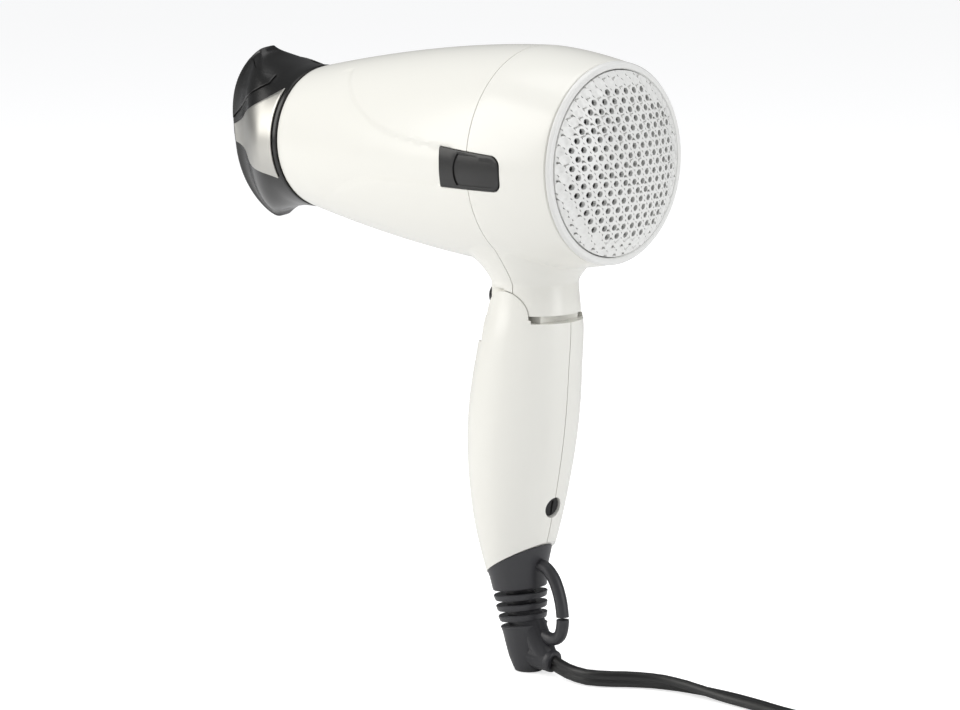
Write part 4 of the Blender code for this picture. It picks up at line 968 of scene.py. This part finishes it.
def handle_form():
    """The handle's closed outside, hollowed up to the hinge."""
    heights = [HANDLE_FOOT + (PIVOT.z + 0.0107 - HANDLE_FOOT) * step / 60 for step in range(61)]
    places = [handle_at(height) for height in heights]
    form = stacked("handle_form", [centre for centre, _ in places], [radius for _, radius in places], 144)
    ceiling = PIVOT.z - NOTCH_DEPTH - 0.005
    inside = [handle_at(height) for height in heights if height < ceiling]
    centres = [centre for centre, _ in inside]
    centres[0] = centres[0] - Vector((0, 0, 0.002))
    return carve(form, stacked("handle_hollow", centres, [radius - sizes().wall for _, radius in inside], 64))


def build_handle():
    size = sizes()
    form = handle_form()
    wide, gap = 0.04, TONGUE_HALF + size.seam
    swing = cross_pin("swing", gap, 0.0143)
    carve(swing, pivot_block("behind", (0.0070, -wide, -wide), (wide, wide, wide)))
    above = pivot_block("above", (-wide, -wide, 0), (wide, wide, wide))
    carve(above, cross_pin("ear_disc", 2 * wide, EAR_RADIUS, 128))
    low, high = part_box("power_slide")
    face = low.x + 0.0032
    dial = middle_of("voltage_dial")
    tools = [
        pivot_block("notch", (-wide, -gap, -NOTCH_DEPTH), (-0.0045, gap, wide)),
        pivot_block("button_room", (-0.0125, -0.0052, -0.0186), (-0.0030, 0.0052, -0.01)),
        cross_pin("cradle", DRUM_HALF + size.seam, DRUM_RADIUS + size.seam),
        pivot_block("fork", (-0.006, -gap, -NECK_FOOT), (wide, gap, wide)),
        swing,
        above,
        pivot_block("ear_front", (-wide, -wide, -0.009), (-0.0102, wide, wide)),
        lower_edge("below", 0.00015, False),
        block("slide_recess", (face - 0.01, -0.0054, low.z - 0.0006),
              (face, 0.0054, high.z + 0.012 + 0.0006)),
        pin("dial_hole", dial - 0.004 * DIAL_WAY, dial + 0.01 * DIAL_WAY, 0.0037),
    ]
    for name in ("handle_screw_lower", "handle_screw_upper"):
        middle = middle_of(name)
        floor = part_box(name)[1].y - 0.0021
        tools.append(pin("screw_well", (middle.x, floor, middle.z), (middle.x, 0.03, middle.z), 0.0030, 40))
    carve(form, *tools)
    left, right = split(form, 1, 0, size.seam, "handle_half_left", "handle_half_right")
    finish(left, "pearl_white", "handle", "pearl_white", "handle_left")
    finish(right, "pearl_white", "handle", "pearl_white", "handle_right")


def build_button():
    low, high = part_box("cool_button")
    reach, radius, crown = high.x - low.x, 0.0044, 0.0028
    profile = [(0, 0), (0, 0.0058), (0.0012, 0.0058), (0.0012, radius)]
    for step in range(9):
        angle = math.pi / 2 * step / 8
        edge = radius * math.cos(angle) ** 0.8 if step < 8 else 0
        profile.append((reach - crown + crown * math.sin(angle), edge))
    button = turned("button_cap", profile, (high.x, 0, (low.z + high.z) / 2), (-1, 0, 0), 64)
    finish(button, "piano_black", "button", "piano_black", "cool_button")


def build_slide():
    low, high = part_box("power_slide")
    middle = (low.z + high.z) / 2
    cap = block("slide_cap", (low.x, low.y, low.z), (low.x + 0.0029, high.y, high.z))
    stem = block("slide_stem", (low.x + 0.002, -0.0018, middle - 0.003), (high.x, 0.0018, middle + 0.003))
    carve(cap, stem, operation="UNION")
    for number in (-2, -1, 0, 1, 2):
        z = middle + number * 0.0021
        carve(cap, pin("groove", (low.x - 0.0003, -0.0036, z), (low.x - 0.0003, 0.0036, z), 0.0007, 16))
    softened(cap, 0.0003, 2, 60)
    finish(cap, "matte_black", "slide", "matte_black", "power_slide")


def build_dial():
    middle = middle_of("voltage_dial")
    profile = [(-0.0016, 0), (-0.0016, 0.0034), (0.0011, 0.0034), (0.0015, 0.0030), (0.0015, 0)]
    dial = turned("selector_disc", profile, middle, DIAL_WAY, 48)
    half = Vector((0.002, 0.0005, 0.0024))
    slot = block("slot", middle - half, middle + half)
    carve(dial, reshape(slot, lambda p: p + 0.0026 * DIAL_WAY))
    finish(dial, "matte_black", "dial", "matte_black", "voltage_dial")


# ---------------------------------------------------------------- strain relief
# height over the strain relief's tip, and radius, above and below its grooves
RELIEF_TOP = ((0.049, 0), (0.049, 0.0135), (0.044, 0.0132), (0.0412, 0.0124), (0.0385, 0.0115),
              (0.0360, 0.0107), (0.0335, 0.0100))
RELIEF_TIP = ((0.0140, 0.0076), (0.0100, 0.0071), (0.0055, 0.0064), (0.0020, 0.0054), (0.0006, 0.0049),
              (-0.0010, 0.0044), (-0.0010, 0))
GROOVES_TOP, GROOVE_PITCH, GROOVE_WIDTH, GROOVE_RADIUS = 0.0279, 0.00366, 0.0015, 0.0050
GROOVE_EDGE = 0.0003
LOOP_ROUTE = (
    (-0.0030, 0, 0.0362), (0.0035, 0, 0.0375), (0.0082, 0, 0.0345), (0.0112, 0, 0.0290),
    (0.0127, 0, 0.0230), (0.0129, 0, 0.0180), (0.0115, 0, 0.0140), (0.0080, 0, 0.0124),
    (0.0035, 0, 0.0134), (-0.0020, 0, 0.0150),
)


def groove(middle):
    """Profile points of one groove, from its upper lip to its lower one."""
    half, skin = GROOVE_WIDTH / 2, 0.0062 + 0.0032 * middle / GROOVES_TOP
    lip = ((half + GROOVE_EDGE, skin), (half, skin - GROOVE_EDGE), (half, GROOVE_RADIUS))
    upper = [(middle + rise, radius) for rise, radius in lip]
    return upper + [(middle - rise, radius) for rise, radius in reversed(lip)]


def build_relief():
    lean = math.radians(8.7)
    profile = list(RELIEF_TOP)
    for number in range(4):
        profile += groove(GROOVES_TOP - number * GROOVE_PITCH)
    profile += RELIEF_TIP
    body = turned("relief", profile, at(-0.0024), (-math.sin(lean), 0, math.cos(lean)), 96)
    carve(body, lower_edge("above", -0.00015, True))
    boss = pin("boss", at(-0.003, 0, 0.0066), at(0.0088, 0, 0.0046), 0.0056, 48, 0.0037)
    collar = pin("boss_collar", at(0.0070, 0, 0.0049), at(0.0094, 0, 0.0045), 0.0041, 48, 0.0038)
    shoulder = pin("shoulder", at(-0.0046, 0, 0.0190), at(0.0058, 0, 0.0052), 0.0062, 48, 0.0040)
    softened(boss, 0.0008, 3)
    softened(collar, 0.0006, 3)
    carve(body, boss, collar, shoulder, operation="UNION")
    carve(body, block("floor_cut", (-0.2, -0.2, -0.1), (0.3, 0.2, 0.0)))
    finish(body, "charcoal_soft_plastic", "handle", "charcoal_soft_plastic", "strain_relief")
    path = smooth_path([at(*point) for point in LOOP_ROUTE], 0.0009)
    loop = swept("loop", path, round_section(0.0022, 24), lambda share: 0.0)
    carve(loop, lower_edge("above", -0.00015, True))
    finish(loop, "charcoal_soft_plastic", "handle", "charcoal_soft_plastic")


# ---------------------------------------------------------------- cord and plug
def round_section(radius, count):
    return [(radius * math.cos(2 * math.pi * i / count), radius * math.sin(2 * math.pi * i / count))
            for i in range(count)]


def twin_section(width, thickness, count):
    """Outline of a flat twin cord: two round cores side by side, with a groove between them."""
    lobe = thickness / 2
    offset = (width - thickness) / 2
    reach = math.pi / 2 + math.asin(min(1.0, offset / lobe) * 0.9)
    points = []
    for side in (1, -1):
        for step in range(count):
            angle = -reach + 2 * reach * step / (count - 1)
            points.append((side * (offset + lobe * math.cos(angle)), side * lobe * math.sin(angle)))
    return points


def swept(name, path, section, twist):
    """A closed tube along a path. twist(share) turns the section: 0 lies flat, a quarter turn is on edge."""
    count = len(path)
    rings = []
    for index, point in enumerate(path):
        run = path[min(count - 1, index + 1)] - path[max(0, index - 1)]
        run.normalize()
        level = run.cross(Vector((0, 0, 1)))
        if level.length < 0.05:
            level = Vector((0, 1, 0))
        level.normalize()
        up = level.cross(run).normalized()
        angle = twist(index / (count - 1))
        wide = level * math.cos(angle) + up * math.sin(angle)
        thin = up * math.cos(angle) - level * math.sin(angle)
        rings.append([point + wide * a + thin * b for a, b in section])
    return skinned(name, rings)


# the cord's way on the surface, from the strain relief to the coil
CORD_ROUTE = (
    (0.0088, 0.0000, 0.0043), (0.0135, -0.0012, 0.0036), (0.0193, -0.0027, 0.0031),
    (0.0265, -0.0030, 0.0029), (0.0330, -0.0001, 0.0029), (0.0385, 0.0042, 0.0029),
    (0.0465, 0.0088, 0.0029), (0.0556, 0.0112, 0.0029), (0.0665, 0.0122, 0.0029),
    (0.0786, 0.0120, 0.0029), (0.0902, 0.0108, 0.0029), (0.1010, 0.0092, 0.0029),
    (0.1200, 0.0084, 0.0029), (0.1380, 0.0108, 0.0029), (0.1560, 0.0176, 0.0029),
    (0.1680, 0.0234, 0.0029), (0.1780, 0.0264, 0.0029),
)
# distances behind the neck where the cord starts and ends its turn onto its flat side, and back on edge
FLAT_TURN = (0.035, 0.080)
EDGE_TURN = (0.135, 0.180)
ON_EDGE_FROM = 50  # from this point of the path on, the cord stands on edge


def share_between(x, limits):
    return eased((x - limits[0]) / (limits[1] - limits[0]))


def edge_share(x):
    """1 where the cord stands on edge and 0 where it lies flat."""
    return 1 - share_between(x, FLAT_TURN) * (1 - share_between(x, EDGE_TURN))


def cord_path():
    size = sizes()
    low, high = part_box("cord_coil")
    centre = (low + high) / 2
    outer = (high.x - low.x) / 2 - 0.00195
    points = smooth_path([at(*point) for point in CORD_ROUTE], 0.0045)
    for point in points:
        turn = math.pi / 2 * edge_share(point.x - AXIS.x)
        height = ((size.cord_width - size.cord_thickness) * math.sin(turn) + size.cord_thickness) / 2 + 0.0001
        point.z = max(height, point.z if point.x - AXIS.x < 0.026 else height)
    lead_out = points[-1]
    per_turn, turns = 28, 4.0
    pitch = 0.0034
    first, second = size.cord_width / 2 + 0.0001, size.cord_width * 1.5 + 0.0004
    plug_low, plug_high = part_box("plug_body")
    plug_height = (plug_low.z + plug_high.z) / 2
    coil = []
    for step in range(int(per_turn * 2 * turns) + 1):
        turn = step / per_turn
        angle = math.pi / 2 - 2 * math.pi * turn
        radius = outer - pitch * min(turn, 2 * turns - turn)
        height = first + (second - first) * eased((turn - turns + 0.2) / 0.4)
        coil.append(centre + Vector((radius * math.cos(angle), radius * math.sin(angle), height - centre.z)))
    last, tail = coil[-1], Vector((plug_low.x + 0.003, centre.y + outer, plug_height))
    over = []
    for share in (0.25, 0.5, 0.75, 1.0):
        point = last.lerp(tail, share)
        point.z = last.z + (tail.z - last.z) * eased(share)
        over.append(point)
    bridge = [lead_out.lerp(coil[0], share) for share in (0.25, 0.5, 0.75)]
    for share, point in zip((0.25, 0.5, 0.75), bridge):
        point.y = lead_out.y + (coil[0].y - lead_out.y) * eased(share)
    return points + bridge + coil + over


def build_cord():
    size = sizes()
    path = cord_path()
    edge = [edge_share(point.x - AXIS.x) if index < ON_EDGE_FROM else 1.0
            for index, point in enumerate(path)]
    section = twin_section(size.cord_width, size.cord_thickness, 10)
    cord = swept("mains_cord", path, section,
                 lambda share: math.pi / 2 * edge[round(share * (len(path) - 1))])
    finish(cord, "cord_black", "handle", "cord_black", "power_cord", "cord_coil", angle=50)
    plug = build_plug()
    tie = build_tie()


def build_plug():
    low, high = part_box("plug_body")
    middle = (low + high) / 2
    half_width, half_height = (high.y - low.y) / 2, 0.0070
    tail_width, tail_height = 0.0040, 0.0036
    rib_pitch = 0.0026
    shoulder = low.x + 0.016
    plug = unit_tube("plug_shell", 64, 26)
    bpy.ops.mesh.select_all(action="SELECT")
    bpy.ops.mesh.fill_holes(sides=0)
    leave_edit()

    def shape(point):
        share = min(1.0, max(0.0, point.z))
        x = high.x + (low.x - high.x) * share
        body = eased((x - shoulder + 0.006) / 0.012)
        lip = 1 - 0.10 * (1 - eased(share / 0.06))
        wide = (tail_width + (half_width - tail_width) * body) * lip
        tall = (tail_height + (half_height - tail_height) * body) * lip
        power = 2 / (2 + 2.2 * body)
        around = math.atan2(point.y, point.x)
        a, b = math.cos(around), math.sin(around)
        ring = 1 - 0.07 * (1 - body) * (0.5 + 0.5 * math.cos(x * 2 * math.pi / rib_pitch))
        return Vector((x, middle.y + wide * ring * math.copysign(abs(a) ** power, a),
                       middle.z + tall * ring * math.copysign(abs(b) ** power, b)))

    outward(reshape(plug, shape))
    for name in ("plug_pin_left", "plug_pin_right"):
        centre = middle_of(name)
        start = (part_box(name)[0].x - 0.0003, centre.y, centre.z)
        carve(plug, pin("bore", start, (high.x + 0.01, centre.y, centre.z), 0.0027, 32))
    softened(plug, 0.0004, 2, 50)
    return finish(plug, "matte_black", "handle", "matte_black", "plug_body")


def build_tie():
    """A flat strap round the coil's turns, on the side away from the cord's way in."""
    low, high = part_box("cord_coil")
    centre = (low + high) / 2
    outer, inner = (high.x - low.x) / 2, (high.x - low.x) / 2 - 0.0178
    spread, foot, corner = 0.0012, 0.0008, 0.002
    x0, x1 = centre.x + inner - spread, centre.x + outer + spread
    top = high.z + 0.0008
    corners = [(x0, foot), (x0, top - corner), (x0 + corner, top),
               (x1 - corner, top), (x1, top - corner), (x1, foot)]
    path = smooth_path([Vector((x, centre.y, z)) for x, z in corners], 0.0012)
    half_width, half_thickness = 0.004, 0.0004
    rings = []
    for index, point in enumerate(path):
        run = (path[min(len(path) - 1, index + 1)] - path[max(0, index - 1)]).normalized()
        out = run.cross(Vector((0, 1, 0)))
        out = -out if out.z < 0 and abs(out.z) > 0.5 else out
        rings.append([point + Vector((0, a * half_width, 0)) + out * (b * half_thickness)
                      for a, b in ((-1, -1), (1, -1), (1, 1), (-1, 1))])
    return finish(skinned("cord_tie", rings), "matte_black", "handle", "matte_black")


# ---------------------------------------------------------------- stage
def area_light(name, place, target, extent, energy, tint=(1, 1, 1)):
    data = bpy.data.lights.new(name, "AREA")
    data.shape = "RECTANGLE"
    data.size, data.size_y = extent
    data.energy = energy
    data.color = tint
    obj = bpy.data.objects.new(name, data)
    obj.location = place
    obj.rotation_euler = (Vector(target) - Vector(place)).to_track_quat("-Z", "Y").to_euler()
    bpy.context.scene.collection.objects.link(obj)


def build_camera():
    azimuth, elevation, distance = math.radians(42.9), math.radians(9.3), 1.2
    back = Vector((math.sin(azimuth) * math.cos(elevation), -math.cos(azimuth) * math.cos(elevation),
                   math.sin(elevation)))
    target = at(-0.0256, 0, 0.1074)
    data = bpy.data.cameras.new("studio_camera")
    data.sensor_width = 36
    data.lens = 130.4
    data.clip_start = 0.05
    camera = bpy.data.objects.new("studio_camera", data)
    camera.location = target + distance * back
    camera.rotation_euler = back.to_track_quat("Z", "Y").to_euler()
    bpy.context.scene.collection.objects.link(camera)
    bpy.context.scene.camera = camera


SKY = (0.97, 0.98, 1.0, 1)
WHITE = (1, 1, 1, 1)


def build_floor():
    """A pale floor that glows a little to the camera alone."""
    deselect()
    bpy.ops.mesh.primitive_grid_add(x_subdivisions=8, y_subdivisions=8, size=12, location=(0, 0, -0.0002))
    floor = settle(named("floor"))
    made, tree, shader = new_material("studio_floor")
    fill(shader, {"Base Color": (0.94, 0.94, 0.94, 1), "Roughness": 0.16, "Specular IOR Level": 0.12,
                  "Emission Color": WHITE})
    seen = node(tree, "ShaderNodeLightPath")
    glow = node(tree, "ShaderNodeMath", {1: 0.62}, operation="MULTIPLY")
    wires(tree, (seen, "Is Camera Ray", glow, 0), (glow, 0, shader, "Emission Strength"))
    floor.data.materials.append(made)


def build_world():
    """White to the camera, pale light on rough surfaces and little on gloss."""
    world = bpy.data.worlds.new("studio")
    bpy.context.scene.world = world
    world.use_nodes = True
    tree = world.node_tree
    tree.nodes.clear()
    output = node(tree, "ShaderNodeOutputWorld")
    seen = node(tree, "ShaderNodeBackground", {"Color": WHITE, "Strength": 1.2})
    lit = node(tree, "ShaderNodeBackground", {"Color": SKY, "Strength": 0.55})
    dim = node(tree, "ShaderNodeBackground", {"Color": SKY, "Strength": 0.14})
    ray = node(tree, "ShaderNodeLightPath")
    gloss = node(tree, "ShaderNodeMixShader")
    mix = node(tree, "ShaderNodeMixShader")
    wires(
        tree,
        (ray, "Is Glossy Ray", gloss, 0), (lit, 0, gloss, 1), (dim, 0, gloss, 2),
        (ray, "Is Camera Ray", mix, 0), (gloss, 0, mix, 1), (seen, 0, mix, 2),
        (mix, 0, output, "Surface"),
    )


def build_stage():
    bpy.context.scene.view_settings.view_transform = "Standard"
    build_camera()
    build_floor()
    build_world()
    middle = at(-0.02, 0, 0.13)
    area_light("left_softbox", (-0.75, -1.05, 0.75), middle, (0.9, 1.3), 12, (1.0, 0.985, 0.95))
    area_light("right_softbox", (1.25, 0.25, 0.55), middle, (0.6, 1.2), 6)
    area_light("top_softbox", (-0.1, 0.1, 1.5), middle, (1.2, 0.9), 5)


# ---------------------------------------------------------------- operators and panel
def step(idname, label, words, *jobs):
    """An operator class that runs the jobs of one piece or group of like pieces."""
    def execute(self, context):
        for job in jobs:
            job()
        return {"FINISHED"}

    return type(
        "DRYER_OT_" + idname, (bpy.types.Operator,),
        {"__doc__": words, "bl_idname": "dryer." + idname, "bl_label": label,
         "bl_options": {"REGISTER", "UNDO"}, "execute": execute},
    )


OPERATORS = (
    step("stage", "Stage", "Camera, pale floor and soft studio light", build_stage),
    step("materials", "Materials", "Finishes of every piece, given to the CAD nodes too", build_materials),
    step("cord", "Cord", "Flat twin cord with its coil, tie and plug", build_cord),
    step("shells", "Shells", "Barrel and neck, in a front and a rear moulding", build_shells),
    step("inserts", "Inserts", "Gloss black insert on each side of the barrel", build_inserts),
    step("intake", "Intake", "Perforated dome and its ring", build_grille),
    step("nozzle", "Nozzle", "Nozzle with its wings and brushed panels", build_nozzle),
    step("handle", "Handle", "Two halves of the handle with the hinge's ears", build_handle),
    step("controls", "Controls", "Cool-shot button, power slide and voltage selector",
         build_button, build_slide, build_dial),
    step("relief", "Strain relief", "Grooved strain relief with its hanging loop", build_relief),
)


class DRYER_PT_pieces(bpy.types.Panel):
    bl_idname = "DRYER_PT_pieces"
    bl_label = "Hair Dryer"
    bl_space_type = "VIEW_3D"
    bl_region_type = "UI"
    bl_category = "Hair Dryer"

    def draw(self, context):
        for operator in OPERATORS:
            self.layout.operator(operator.bl_idname)
        for group in (context.scene.dryer_sizes, context.scene.dryer_colours):
            for name in group.__annotations__:
                self.layout.prop(group, name)


CLASSES = (DryerSizes, DryerColours, *OPERATORS, DRYER_PT_pieces)


def register():
    for item in CLASSES:
        bpy.utils.register_class(item)
    bpy.types.Scene.dryer_sizes = PointerProperty(type=DryerSizes)
    bpy.types.Scene.dryer_colours = PointerProperty(type=DryerColours)


def unregister():
    del bpy.types.Scene.dryer_sizes
    del bpy.types.Scene.dryer_colours
    for item in reversed(CLASSES):
        bpy.utils.unregister_class(item)


def main():
    register()
    for operator in OPERATORS:
        getattr(bpy.ops.dryer, operator.bl_idname.split(".")[1])()


if __name__ == "__main__":
    main()
